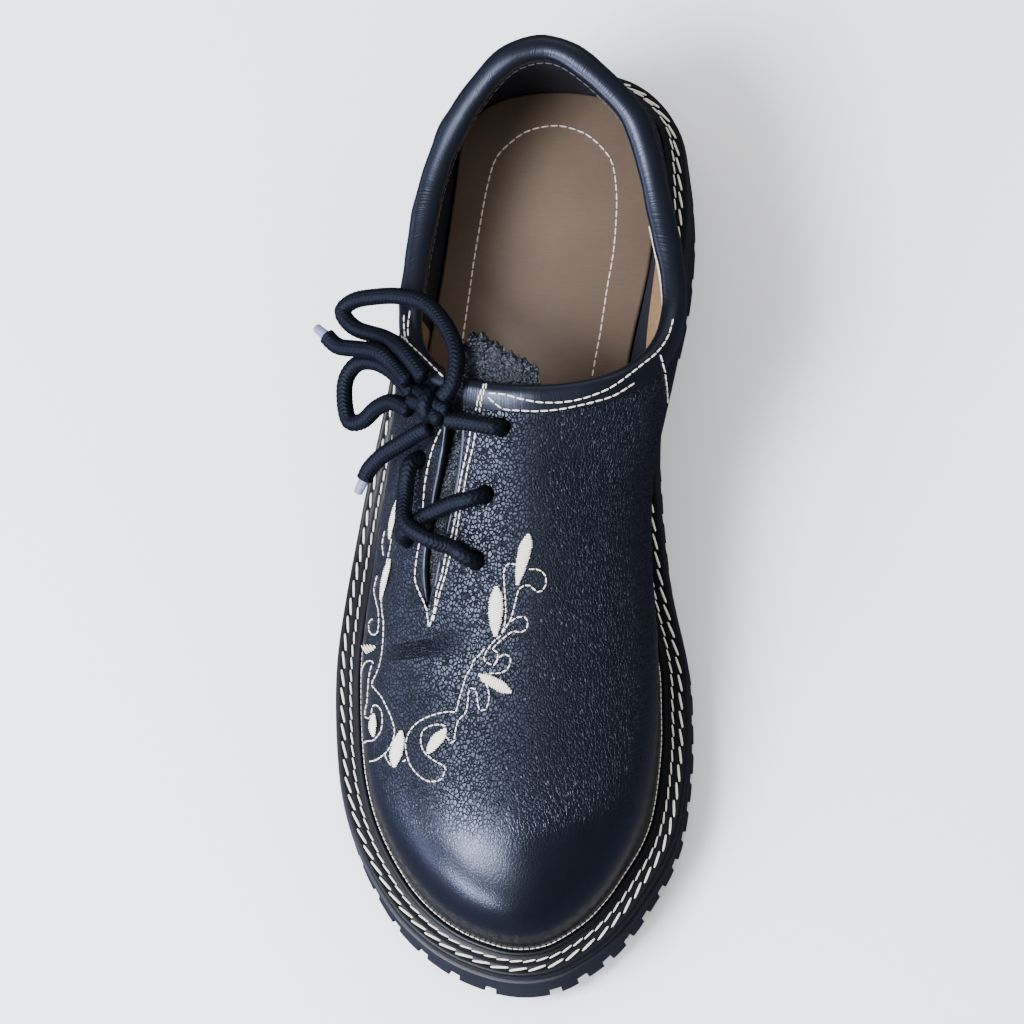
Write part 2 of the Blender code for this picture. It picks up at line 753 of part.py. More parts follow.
def on_leather(tree, x, y):
    """The leather under a spot seen from above, and its normal smoothed over the spots about it."""
    reach_out = 0.003
    place = None
    normal = Vector()
    for dx, dy in ((1, 0), (-1, 0), (0, 1), (0, -1), (0, 0)):
        spot = Vector((x + dx * reach_out, y + dy * reach_out, 2 * INSTEP_HEIGHT))
        place, up, face, distance = tree.ray_cast(spot, Vector((0, 0, -1)))
        if up is not None:
            normal += up if up.z > 0 else -up
    return place, normal.normalized()


def spot_of(row):
    """A table row's place seen from above, in metres."""
    return row.side * BALL_WIDTH, SOLE_LENGTH * (0.5 - row.station)


def slit_cutter(name):
    """An upright blade of the slit's plan, which cuts vamp and collar alike."""
    outer = []
    inner = []
    for row in SLIT:
        x, y = spot_of(row)
        outer.append((x - row.width * SLIT_WIDTH / 2, y))
        inner.append((x + row.width * SLIT_WIDTH / 2, y))
    return prism(name, outer + inner[::-1], SLIT_LOW, SLIT_HIGH)


def tongue_sheet(name, tree):
    """The tongue's outer face, laid under the leather and carried on past the collar."""
    points = []
    for row in TONGUE:
        for k in range(TONGUE_COLUMNS + 1):
            across = k / TONGUE_COLUMNS
            side = (row.outer + (row.inner - row.outer) * across) * BALL_WIDTH
            station = (row.station + row.skew * (across - 0.5)) * SOLE_LENGTH
            place, normal = on_leather(tree, side, SOLE_LENGTH / 2 - station)
            depth = UPPER_WALL + TONGUE_CLEARANCE + row.sunk * COLLAR_BACKING
            points.append(place - normal * depth)
    width = TONGUE_COLUMNS + 1
    faces = []
    for r in range(len(TONGUE) - 1):
        for c in range(TONGUE_COLUMNS):
            faces.append((r * width + c, r * width + c + 1, (r + 1) * width + c + 1, (r + 1) * width + c))
    return mesh_from(name, points, faces, outwards=False)


# The lace

def smooth_route(points, step):
    """Even points on a smooth curve through the route's points."""
    fine = []
    last = len(points) - 1
    for i in range(last):
        before, after = points[max(i - 1, 0)], points[min(i + 2, last)]
        a, b = points[i], points[i + 1]
        for k in range(12):
            u = k / 12
            fine.append(0.5 * (2 * a + (b - before) * u + (2 * before - 5 * a + 4 * b - after) * u ** 2
                               + (3 * a - before - 3 * b + after) * u ** 3))
    fine.append(points[-1])
    length = sum((b - a).length for a, b in zip(fine, fine[1:]))
    count = max(2, round(length / step))
    even = [fine[0]]
    walked = 0.0
    for a, b in zip(fine, fine[1:]):
        piece = (b - a).length
        while len(even) < count and walked + piece >= length * len(even) / count:
            even.append(a + (b - a) * ((length * len(even) / count - walked) / piece))
        walked += piece
    return even + [fine[-1]]


def cord(name, points, material, collection, parent, step=LACE_STEP):
    """A round cord of the lace's diameter through the points."""
    curve = bpy.data.curves.new(name, "CURVE")
    curve.dimensions = "3D"
    curve.bevel_depth = LACE_DIAMETER / 2
    curve.bevel_resolution = 2
    curve.use_fill_caps = True
    line = smooth_route(points, step)
    spline = curve.splines.new("POLY")
    spline.points.add(len(line) - 1)
    for point, place in zip(spline.points, line):
        point.co = (*place, 1)
    curve.materials.append(material)
    thing = bpy.data.objects.new(name, curve)
    collection.objects.link(thing)
    thing.parent = parent
    return thing


def cord_mesh(thing, name):
    """A closed mesh of a cord, for joining to another."""
    bpy.context.view_layer.update()
    mesh = bpy.data.meshes.new_from_object(thing.evaluated_get(bpy.context.evaluated_depsgraph_get()))
    shape = bmesh.new()
    shape.from_mesh(mesh)
    bmesh.ops.remove_doubles(shape, verts=shape.verts, dist=0.00002)
    bmesh.ops.recalc_face_normals(shape, faces=shape.faces)
    shape.to_mesh(mesh)
    shape.free()
    mesh.name = name
    return mesh


def hole_exit(tree, row, towards):
    """Points of a lace that comes up out of a hole and turns towards a spot."""
    place, normal = on_leather(tree, *spot_of(row))
    turn = towards - place
    turn = (turn - normal * turn.dot(normal)).normalized()
    dip = LACE_DIP
    over = LACE_DIAMETER
    return [place - normal * dip, place + normal * over * 0.15,
            place + normal * over * 0.62 + turn * over * 0.30,
            place + normal * over * 0.80 + turn * over * 0.95]


def over_leather(tree, rows):
    points = []
    for row in rows:
        place, normal = on_leather(tree, *spot_of(row))
        points.append(place + normal * row.height * LACE_DIAMETER)
    return points


def route_points(rows):
    points = []
    for row in rows:
        x, y = spot_of(row)
        points.append(Vector((x, y, row.height * INSTEP_HEIGHT)))
    return points


def knot_mesh(name):
    """The tied knot: a rounded lump lying down the slope of the quarter."""
    shape = bmesh.new()
    bmesh.ops.create_uvsphere(shape, u_segments=14, v_segments=9, radius=0.5)
    bmesh.ops.scale(shape, verts=shape.verts, vec=(KNOT_LENGTH, KNOT_WIDTH, KNOT_WIDTH))
    bmesh.ops.rotate(shape, verts=shape.verts, matrix=Matrix.Rotation(-radians(KNOT_TILT), 3, "Y"))
    bmesh.ops.rotate(shape, verts=shape.verts, matrix=Matrix.Rotation(-radians(KNOT_TURN), 3, "Z"))
    bmesh.ops.translate(shape, verts=shape.verts, vec=route_points([KNOT])[0])
    mesh = bpy.data.meshes.new(name)
    shape.to_mesh(mesh)
    shape.free()
    return mesh


# The sole

def welt_strip(name, angles):
    """The welt all round, with the rib that stands against the upper's foot."""
    def section(angle):
        edge = flare(angle) + WELT_SETBACK
        rib = reach(angle) - RIB_CLEARANCE
        inner = reach(angle) + UPPER_WALL
        return [(edge, -WELT_THICKNESS), (edge, -WELT_BEVEL), (edge + WELT_BEVEL, 0.0),
                (rib - RIB_WIDTH, 0.0), (rib - RIB_WIDTH, RIB_HEIGHT), (rib, RIB_HEIGHT), (rib, 0.0),
                (inner, 0.0), (inner, -WELT_THICKNESS)]

    points = []
    for angle in angles:
        for inset, rise in section(angle):
            spot = inset_point(angle, inset)
            points.append((spot.x, spot.y, welt_top(station_of(spot.y)) + rise))
    rows = len(points) // len(angles)
    faces = []
    for k in range(len(angles)):
        after = (k + 1) % len(angles)
        for i in range(rows):
            up = (i + 1) % rows
            faces.append((k * rows + i, after * rows + i, after * rows + up, k * rows + up))
    return mesh_from(name, points, faces)


def heel_block(name):
    """The heel, from the floor to the outsole, with a hollowed breast."""
    end = station_angle(HEEL_LENGTH)
    steps = 15
    plan = [tuple(edge_point(-end + 2 * end * k / (2 * steps))) for k in range(2 * steps + 1)]
    middle = (plan[0][0] + plan[-1][0]) / 2
    half = abs(plan[0][0] - plan[-1][0]) / 2
    for side in (-0.6, -0.2, 0.2, 0.6):
        plan.append((middle + half * side * (1 if plan[0][0] > plan[-1][0] else -1),
                     plan[0][1] + BREAST_CURVE * (1 - side * side)))
    return prism(name, plan, 0.0, plate_bottom(0.0) - GAP)


def edge_walk(start, end, first, pitch):
    """Angles of even steps along the sole's edge."""
    step = radians(0.25) * (1 if end > start else -1)
    angles = []
    gone = pitch - first
    at = start
    while (at - end) * step < 0:
        gone += (edge_point(at + step) - edge_point(at)).length
        at += step
        if gone >= pitch:
            angles.append(at)
            gone -= pitch
    return angles


def slot(name, angle, floor_at):
    """A cutter for one gap between two lugs of the edge."""
    out = outward(angle)
    along = Vector((-out.y, out.x)) * LUG_GAP / 2
    outside = inset_point(angle, -LUG_DEPTH)
    inside = inset_point(angle, LUG_REACH)
    plan = [outside + along, inside + along, inside - along, outside - along]
    top = floor_at(station_of(inset_point(angle, LUG_REACH / 2).y)) + LUG_DEPTH
    return prism(name, [tuple(p) for p in plan], -LUG_DEPTH, top)


def channel(name, angles, floor_at):
    """A cutter for the groove behind the row of edge lugs."""
    insets = (LUG_REACH - CHANNEL_WIDTH / 2, LUG_REACH + CHANNEL_WIDTH / 2)
    points = []
    for angle in angles:
        for inset, high in ((insets[0], 0), (insets[1], 0), (insets[1], 1), (insets[0], 1)):
            spot = inset_point(angle, inset)
            top = floor_at(station_of(spot.y)) + LUG_DEPTH
            points.append((spot.x, spot.y, top if high else -LUG_DEPTH))
    faces = [(0, 1, 2, 3), tuple(range(len(points) - 1, len(points) - 5, -1))]
    for k in range(len(angles) - 1):
        for i in range(4):
            a = 4 * k + i
            b = 4 * k + (i + 1) % 4
            faces.append((a, b, b + 4, a + 4))
    return mesh_from(name, points, faces)


def chevron(name, station, rake, floor_at):
    """A cutter for a groove across the sole, bent forwards in the middle, from channel to channel."""
    angle = station_angle(station + rake)
    left = inset_point(angle, LUG_REACH)
    right = inset_point(2 * pi - angle, LUG_REACH)
    tip = Vector(((left.x + right.x) / 2, SOLE_LENGTH / 2 - station))
    back = Vector((0, LUG_GAP))
    plan = [left, tip, right, right + back, tip + back, left + back]
    top = floor_at(station) + LUG_DEPTH
    return prism(name, [tuple(p) for p in plan], -LUG_DEPTH, top)


def add_cutter(mesh, collection, parent):
    cutter = bpy.data.objects.new(mesh.name, mesh)
    cutter.parent = parent
    cutter.display_type = "WIRE"
    cutter.hide_render = True
    collection.objects.link(cutter)
    return cutter


def main():
    for thing in list(bpy.data.objects):
        bpy.data.objects.remove(thing, do_unlink=True)
    shoe = bpy.data.collections.new("haferl_shoe")
    bpy.context.scene.collection.children.link(shoe)
    tools = {}
    for name in ("slit_cutters", "tread_cutters", "heel_cutters", "lace_cutters"):
        tools[name] = bpy.data.collections.new(name)
        bpy.context.scene.collection.children.link(tools[name])
    root = bpy.data.objects.new("shoe_frame", None)
    shoe.objects.link(root)
    sides = [edge_point(angle).x for angle in ring_angles()]
    root.location.x = -(min(sides) + max(sides)) / 2

    leather = new_material("black leather", (0.012, 0.014, 0.020), 0.4)
    lining = new_material("collar leather", (0.010, 0.011, 0.016), 0.4)
    tongue_leather = new_material("rough tongue leather", (0.016, 0.018, 0.024), 0.6)
    edge = new_material("welt leather", (0.010, 0.010, 0.012), 0.5)
    layer = new_material("midsole leather", (0.014, 0.014, 0.016), 0.6)
    rubber = new_material("outsole rubber", (0.020, 0.022, 0.030), 0.6)
    heel_rubber = new_material("heel rubber", (0.020, 0.022, 0.030), 0.6)
    tan = new_material("tan footbed", (0.30, 0.19, 0.12), 0.6)
    black_cord = new_material("black cord", (0.008, 0.008, 0.009), 0.7)
    tip_plastic = new_material("aglet plastic", (0.030, 0.030, 0.036), 0.4)

    leather_face = upper_skin("upper")
    tree = leather_tree(leather_face)
    add_cutter(slit_cutter("slit"), tools["slit_cutters"], root)
    for k, row in enumerate(VAMP_HOLES + QUARTER_HOLES):
        place, normal = on_leather(tree, *spot_of(row))
        punch = rod("hole_" + str(k), place - normal * UPPER_WALL * 2, place + normal * UPPER_WALL * 2,
                    EYELET_DIAMETER)
        add_cutter(punch, tools["slit_cutters"], root)

    skin = add_object("upper", leather_face, leather, shoe, root)
    modify(skin, "SOLIDIFY", thickness=UPPER_WALL, offset=-1.0)
    cut(skin, tools["slit_cutters"])
    roll = add_object("collar", collar_roll("collar"), lining, shoe, root)
    cut(roll, tools["slit_cutters"])
    tongue = add_object("tongue", tongue_sheet("tongue", tree), tongue_leather, shoe, root)
    modify(tongue, "SOLIDIFY", thickness=TONGUE_WALL, offset=-1.0)

    def sole_edge(angle):
        return 0.0

    def flared(angle):
        return flare(angle)

    def under_lip(angle):
        return flare(angle) + LIP_STEP

    def layer_edge(angle):
        return flare(angle) + WELT_SETBACK

    def insole_edge(angle):
        return reach(angle) + UPPER_WALL + INSOLE_CLEARANCE

    def lip_bottom(station):
        return outsole_top(station) - LIP_HEIGHT

    def step_bottom(station):
        return lip_bottom(station) - LIP_STEP

    def midsole_bottom(station):
        return midsole_top(station) - MIDSOLE_THICKNESS

    def insole_bottom(station):
        return midsole_top(station) + GAP

    def insole_top(station):
        return insole_bottom(station) + INSOLE_THICKNESS

    angles = ring_angles()
    bevel = [station_angle(TREAD_START - GAP), station_angle(TREAD_START + TREAD_BEVEL)]
    stepped = sorted(angles + bevel + [2 * pi - angle for angle in bevel])
    add_object("welt", welt_strip("welt", angles), edge, shoe, root)
    add_object("midsole", layered_plate("midsole", [(layer_edge, midsole_bottom), (layer_edge, midsole_top)],
                                        angles), layer, shoe, root)
    foot_angles = [top[2] for top in wall_tops()]
    add_object("insole", layered_plate("insole", [(insole_edge, insole_bottom), (insole_edge, insole_top)],
                                       foot_angles), tan, shoe, root)
    outsole = add_object("outsole", layered_plate("outsole", [
        (sole_edge, tread_bottom), (under_lip, step_bottom), (flared, lip_bottom), (flared, outsole_top),
    ], stepped), rubber, shoe, root)
    heel = add_object("heel", heel_block("heel"), heel_rubber, shoe, root)

    def flat_floor(station):
        return 0.0

    tread_end = station_angle(TREAD_START)
    lateral_slots = edge_walk(pi, tread_end, TOE_PITCH / 2, LATERAL_PITCH)
    medial_slots = edge_walk(pi, 2 * pi - tread_end, TOE_PITCH / 2, MEDIAL_PITCH)
    for k, angle in enumerate(lateral_slots + medial_slots):
        add_cutter(slot("gap_" + str(k), angle, spring), tools["tread_cutters"], root)
    first = station_angle(TREAD_START - LUG_GAP)
    ring = [first + (2 * pi - 2 * first) * k / HALF_RING for k in range(HALF_RING + 1)]
    add_cutter(channel("channel", ring, spring), tools["tread_cutters"], root)
    for k in range(CHEVRON_COUNT):
        station = CHEVRON_START + k * CHEVRON_PITCH
        add_cutter(chevron("chevron_" + str(k), station, -CHEVRON_RAKE, spring), tools["tread_cutters"], root)
    cut(outsole, tools["tread_cutters"])

    heel_end = station_angle(HEEL_LENGTH)
    for k, angle in enumerate(edge_walk(-heel_end, heel_end, LATERAL_PITCH, LATERAL_PITCH)):
        add_cutter(slot("heel_gap_" + str(k), angle, flat_floor), tools["heel_cutters"], root)
    past = station_angle(HEEL_LENGTH + LUG_GAP)
    ring = [-past + 2 * past * k / 24 for k in range(25)]
    add_cutter(channel("heel_channel", ring, flat_floor), tools["heel_cutters"], root)
    for k in (2, 3):
        bar = chevron("heel_bar_" + str(k), k * HEEL_BAR_PITCH, 0.0, flat_floor)
        add_cutter(bar, tools["heel_cutters"], root)
    cut(heel, tools["heel_cutters"])

    lower = over_leather(tree, LOWER_RUN)
    under = hole_exit(tree, VAMP_HOLES[1], lower[0]) + lower
    under += hole_exit(tree, QUARTER_HOLES[2], lower[-1])[::-1]
    upper = over_leather(tree, UPPER_RUN)
    over = hole_exit(tree, VAMP_HOLES[2], upper[0]) + upper
    over += hole_exit(tree, QUARTER_HOLES[1], upper[-1])[::-1]
    over_run = cord("over_run", over, black_cord, tools["lace_cutters"], None, LACE_STEP / 2)
    under_run = cord("under_run", under, black_cord, tools["lace_cutters"], None, LACE_STEP / 2)
    crossing = add_object("lace_crossing", cord_mesh(under_run, "lace_crossing"), black_cord, shoe, root)
    joined = add_cutter(cord_mesh(over_run, "over_run_mesh"), tools["lace_cutters"], root)
    for drawn in (over_run, under_run):
        bpy.data.objects.remove(drawn, do_unlink=True)
    modify(crossing, "BOOLEAN", operation="UNION", solver="EXACT", object=joined)
    bar = over_leather(tree, BAR_RUN)
    cord("lace_bar", hole_exit(tree, VAMP_HOLES[0], bar[0])[:3] + bar, black_cord, shoe, root,
         LACE_STEP / 2)

    add_object("lace_knot", knot_mesh("lace_knot"), black_cord, shoe, root)
    cord("lace_loop_large", route_points(LARGE_LOOP), black_cord, shoe, root)
    cord("lace_loop_small", route_points(SMALL_LOOP), black_cord, shoe, root)
    for name, rows in (("upper", UPPER_END), ("lower", LOWER_END)):
        route = route_points(rows)
        cord("lace_end_" + name, route, black_cord, shoe, root)
        onward = (route[-1] - route[-2]).normalized()
        start = route[-1] + onward * GAP
        tip = rod("aglet_" + name, start, start + onward * AGLET_LENGTH, AGLET_DIAMETER, 12)
        add_object("aglet_" + name, tip, tip_plastic, shoe, root)


main()
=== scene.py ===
"""Looks of the right shoe of a pair of black leather shoes laced at the outer side.

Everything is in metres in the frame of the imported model: toe to -Y, outer (lateral) side at -X,
floor at z = 0. The sections follow the shoe as it is put together, after the camera and the lace.
"""
import json
from math import acos, ceil, cos, hypot, pi, radians, sin

import bmesh
import bpy
import numpy as np
from mathutils import Matrix, Vector
from mathutils.bvhtree import BVHTree

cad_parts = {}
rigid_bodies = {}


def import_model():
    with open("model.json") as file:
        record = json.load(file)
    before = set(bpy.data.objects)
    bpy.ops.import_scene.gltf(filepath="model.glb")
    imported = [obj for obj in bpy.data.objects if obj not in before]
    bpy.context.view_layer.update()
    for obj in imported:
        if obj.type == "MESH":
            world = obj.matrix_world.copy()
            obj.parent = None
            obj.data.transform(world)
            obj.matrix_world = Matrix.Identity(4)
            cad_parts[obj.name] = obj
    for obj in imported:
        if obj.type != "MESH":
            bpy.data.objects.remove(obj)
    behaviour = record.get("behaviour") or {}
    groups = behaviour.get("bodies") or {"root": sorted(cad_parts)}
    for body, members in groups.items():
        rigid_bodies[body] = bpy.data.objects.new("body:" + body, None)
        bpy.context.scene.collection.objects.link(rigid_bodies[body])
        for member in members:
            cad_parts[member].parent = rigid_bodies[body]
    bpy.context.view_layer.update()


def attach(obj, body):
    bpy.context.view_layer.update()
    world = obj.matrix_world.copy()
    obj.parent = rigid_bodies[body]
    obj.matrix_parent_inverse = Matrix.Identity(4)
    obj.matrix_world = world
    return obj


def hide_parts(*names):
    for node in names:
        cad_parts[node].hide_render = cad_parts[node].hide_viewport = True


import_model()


# Camera, floor and light
# The photograph looks down on the shoe from far off, tipped a little towards the toe and the inner
# side. The floor is plain white card, and the light comes from wide soft boxes.

SOLE_SHIFT = 0.00695
CAMERA_DISTANCE = 2.0
CAMERA_TILT = radians(17.0)
CAMERA_LEAN = radians(4.5)
CAMERA_ROLL = 0.0359
LENS = 219.33

out_of_view = Vector((sin(CAMERA_LEAN), -sin(CAMERA_TILT) * cos(CAMERA_LEAN),
                      cos(CAMERA_TILT) * cos(CAMERA_LEAN))).normalized()
upright = (Vector((0, 1, 0)) - out_of_view * out_of_view.y).normalized()
across = upright.cross(out_of_view)
view_right = across * cos(CAMERA_ROLL) + upright * sin(CAMERA_ROLL)
view_up = upright * cos(CAMERA_ROLL) - across * sin(CAMERA_ROLL)
camera_place = Vector((SOLE_SHIFT, 0, 0.03)) + out_of_view * CAMERA_DISTANCE
camera = bpy.data.objects.new("camera", bpy.data.cameras.new("camera"))
bpy.context.scene.collection.objects.link(camera)
turned = Matrix((view_right, view_up, out_of_view)).transposed().to_4x4()
camera.matrix_world = Matrix.Translation(camera_place) @ turned
camera.data.lens = LENS
camera.data.sensor_width = 36
camera.data.shift_x = -0.0249
camera.data.shift_y = 0.0067
camera.data.clip_start = 0.1
camera.data.clip_end = 50
bpy.context.scene.camera = camera


def colour(code):
    """An sRGB hex colour as a linear one."""
    parts = [int(code[i:i + 2], 16) / 255 for i in (1, 3, 5)]
    return (*[p / 12.92 if p <= 0.04045 else ((p + 0.055) / 1.055) ** 2.4 for p in parts], 1)


def add_node(tree, kind, settings, values):
    """Add a node with its settings, and with its inputs given as values or as other nodes' outputs."""
    node = tree.nodes.new(kind)
    for key, value in settings.items():
        setattr(node, key, value)
    for key, value in values.items():
        if isinstance(value, bpy.types.NodeSocket):
            tree.links.new(value, node.inputs[key])
        else:
            node.inputs[key].default_value = value
    return node


def new_material(name):
    """A new material, its tree, its shader, and the place on the object for patterns to follow."""
    material = bpy.data.materials.new(name)
    material.use_nodes = True
    tree = material.node_tree
    here = add_node(tree, "ShaderNodeTexCoord", {}, {})
    return material, tree, tree.nodes["Principled BSDF"], here.outputs["Object"]


def surface(tree, shader, shade, relief, roughness, ior=1.5):
    """Join a finish's colour and relief to the shader, and set how rough it is and its IOR."""
    tree.links.new(shade.outputs["Result"], shader.inputs["Base Color"])
    if relief is not None:
        tree.links.new(relief.outputs["Normal"], shader.inputs["Normal"])
    shader.inputs["Roughness"].default_value = roughness
    shader.inputs["IOR"].default_value = ior


def soft_box(name, place, aim, size, power, tint):
    """A square soft box of light."""
    light = bpy.data.lights.new(name, "AREA")
    light.shape = "RECTANGLE"
    light.size, light.size_y = size
    light.energy = power
    light.color = colour(tint)[:3]
    box = bpy.data.objects.new(name, light)
    bpy.context.scene.collection.objects.link(box)
    box.location = place
    box.rotation_mode = "QUATERNION"
    box.rotation_quaternion = (Vector(aim) - Vector(place)).to_track_quat("-Z", "Y")
    return box


soft_box("key_box", (-0.60, -0.43, 1.18), (0, 0, 0.05), (0.50, 0.50), 42, "#eef3ff")
soft_box("toe_box_light", (-0.73, -0.97, 0.50), (0, -0.1, 0.04), (0.55, 0.16), 17, "#e4ecff")
soft_box("side_box", (-1.2, -0.10, 0.22), (0, 0, 0.05), (1.2, 0.30), 10, "#d0d8ff")
soft_box("heel_box", (0.1, 1.1, 0.9), (0, 0.05, 0.05), (0.8, 0.5), 2, "#ffffff")

# A white tent gives the even light; in the leather's gloss it shows darker, most of all at the right
world = bpy.data.worlds.new("studio")
world.use_nodes = True
tree = world.node_tree
tent = tree.nodes["Background"]
tent.inputs["Color"].default_value = colour("#f6f7fb")
tent.inputs["Strength"].default_value = 1.35
ray = add_node(tree, "ShaderNodeLightPath", {}, {})
way = add_node(tree, "ShaderNodeTexCoord", {}, {})
leftward = add_node(tree, "ShaderNodeVectorMath", {"operation": "DOT_PRODUCT"},
                    {0: way.outputs["Generated"], 1: (-0.71, -0.41, 0.57)})
lit_share = add_node(tree, "ShaderNodeMapRange", {"interpolation_type": "SMOOTHSTEP"},
                     {"Value": leftward.outputs["Value"], "From Min": 0.5, "From Max": 0.98,
                      "To Min": 0.20, "To Max": 0.85})
gloss_tent = add_node(tree, "ShaderNodeBackground", {}, {"Color": colour("#dfe6fa"),
                                                         "Strength": lit_share.outputs["Result"]})
seen_tent = add_node(tree, "ShaderNodeMixShader", {},
                     {"Fac": ray.outputs["Is Glossy Ray"], 1: tent.outputs["Background"],
                      2: gloss_tent.outputs["Background"]})
tree.links.new(seen_tent.outputs["Shader"], tree.nodes["World Output"].inputs["Surface"])
bpy.context.scene.world = world

card, card_tree, card_shader, place = new_material("white_card")
ray = add_node(card_tree, "ShaderNodeLightPath", {}, {})
# The card is white to the camera and to bounced light, and painted dark grey for glossy rays: a painted darker
# reflection of the floor in the leather
paper_and_painted_reflection = add_node(card_tree, "ShaderNodeMix", {"data_type": "RGBA"},
                 {"Factor": ray.outputs["Is Glossy Ray"], "A": colour("#fdfdfd"), "B": colour("#303344")})
card_tree.links.new(paper_and_painted_reflection.outputs["Result"], card_shader.inputs["Base Color"])
card_shader.inputs["Roughness"].default_value = 0.85
floor_mesh = bpy.data.meshes.new("floor")
floor_mesh.from_pydata([(-6, -6, 0), (6, -6, 0), (6, 6, 0), (-6, 6, 0)], [], [(0, 1, 2, 3)])
floor_mesh.materials.append(card)
floor = bpy.data.objects.new("floor", floor_mesh)
bpy.context.scene.collection.objects.link(floor)


# The tied bow
# A round lace, braided from black polyester over a soft core and 5 mm thick, tied at the outer side.
# Its two loops and two ends lie free on the shoe; each end is bound in a short plastic tip.

LACE = 0.0052
BRAID_PITCH = 0.0014
# Routes in millimetres, from the knot and back to it or to the tip
LARGE_LOOP = [(-18.35, 17.69, 99.5), (-14.90, 22.27, 102.0), (-14.21, 31.11, 102.5),
              (-17.66, 40.57, 99.5), (-25.02, 50.02, 95.0), (-33.87, 54.29, 90.0),
              (-42.27, 55.81, 85.0), (-49.51, 56.12, 80.0), (-53.42, 53.38, 77.0),
              (-48.82, 47.28, 79.0), (-38.70, 41.79, 86.0), (-32.03, 35.07, 94.5), (-24.56, 24.71, 99.0)]
SMALL_LOOP = [(-29.04, 22.57, 90.0), (-35.25, 30.50, 85.0), (-41.58, 35.38, 80.5), (-47.79, 36.60, 76.0),
              (-51.70, 32.63, 73.0), (-52.16, 25.93, 71.5), (-50.32, 18.91, 71.5), (-45.83, 17.99, 74.5),
              (-40.66, 20.74, 80.0), (-35.37, 20.74, 85.5), (-29.73, 16.77, 90.0)]
UPPER_END = [(-29.96, 24.71, 95.0), (-34.56, 30.80, 91.5), (-40.08, 35.99, 89.0), (-47.10, 38.73, 84.0),
             (-54.00, 41.18, 79.0), (-58.02, 44.84, 78.0)]
LOWER_END = [(-22.72, 9.76, 93.0), (-26.40, 9.15, 90.0), (-31.80, 7.63, 84.5), (-38.01, 5.80, 78.5),
             (-42.73, 2.75, 74.0), (-44.68, -0.61, 72.0)]
KNOT = Vector((-0.02306, 0.01738, 0.0950))
TIP_LENGTH = 0.0060
TIP_DIAMETER = 0.0034


def smooth_route(points, step):
    """Even points on a smooth curve through the route's points."""
    fine = []
    last = len(points) - 1
    for i in range(last):
        before, after = points[max(i - 1, 0)], points[min(i + 2, last)]
        a, b = points[i], points[i + 1]
        for k in range(12):
            u = k / 12
            fine.append(0.5 * (2 * a + (b - before) * u + (2 * before - 5 * a + 4 * b - after) * u ** 2
                               + (3 * a - before - 3 * b + after) * u ** 3))
    fine.append(points[-1])
    length = sum((b - a).length for a, b in zip(fine, fine[1:]))
    count = max(2, round(length / step))
    even = [fine[0]]
    walked = 0.0
    for a, b in zip(fine, fine[1:]):
        piece = (b - a).length
        while len(even) < count and walked + piece >= length * len(even) / count:
            even.append(a + (b - a) * ((length * len(even) / count - walked) / piece))
        walked += piece
    return even + [fine[-1]]


def route_length(points):
    return sum((b - a).length for a, b in zip(points, points[1:]))


def turned_along(points):
    """A side and an up direction for each point, carried along the route without twist."""
    ways = []
    up = None
    for k in range(len(points)):
        along = (points[min(k + 1, len(points) - 1)] - points[max(k - 1, 0)]).normalized()
        if up is None:
            up = Vector((0, 0, 1)) if abs(along.z) < 0.9 else Vector((0, 1, 0))
        up = (up - along * up.dot(along)).normalized()
        ways.append((along, along.cross(up), up))
    return ways


def placed(name, mesh, material, body="root"):
    """Link a finished mesh as a piece of the shoe."""
    piece = bpy.data.objects.new(name, mesh)
    if not mesh.materials:
        mesh.materials.append(material)
    bpy.context.scene.collection.objects.link(piece)
    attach(piece, body)
    return piece


def worked_mesh(blank):
    """The blank's mesh with its modifiers worked in; the blank itself is thrown away."""
    mesh = bpy.data.meshes.new_from_object(blank.evaluated_get(bpy.context.evaluated_depsgraph_get()))
    bpy.data.objects.remove(blank, do_unlink=True)
    return mesh


def tube_faces(rings, sides):
    """The faces of a tube, between rings of points that all have the same number of sides."""
    faces = []
    for ring in range(rings - 1):
        for i in range(sides):
            a, b = ring * sides + i, ring * sides + (i + 1) % sides
            faces.append((a, b, b + sides, a + sides))
    return faces


def closed_mesh(name, points, faces, merge=0.00001):
    """A mesh with doubles merged and faces turned outwards, shaded smooth."""
    shape = bmesh.new()
    verts = [shape.verts.new(p) for p in points]
    for face in faces:
        corners = []
        for i in face:
            if verts[i] not in corners:
                corners.append(verts[i])
        if len(corners) > 2:
            shape.faces.new(corners)
    bmesh.ops.remove_doubles(shape, verts=shape.verts, dist=merge)
    bmesh.ops.recalc_face_normals(shape, faces=shape.faces)
    mesh = bpy.data.meshes.new(name)
    shape.to_mesh(mesh)
    shape.free()
    mesh.shade_smooth()
    return mesh


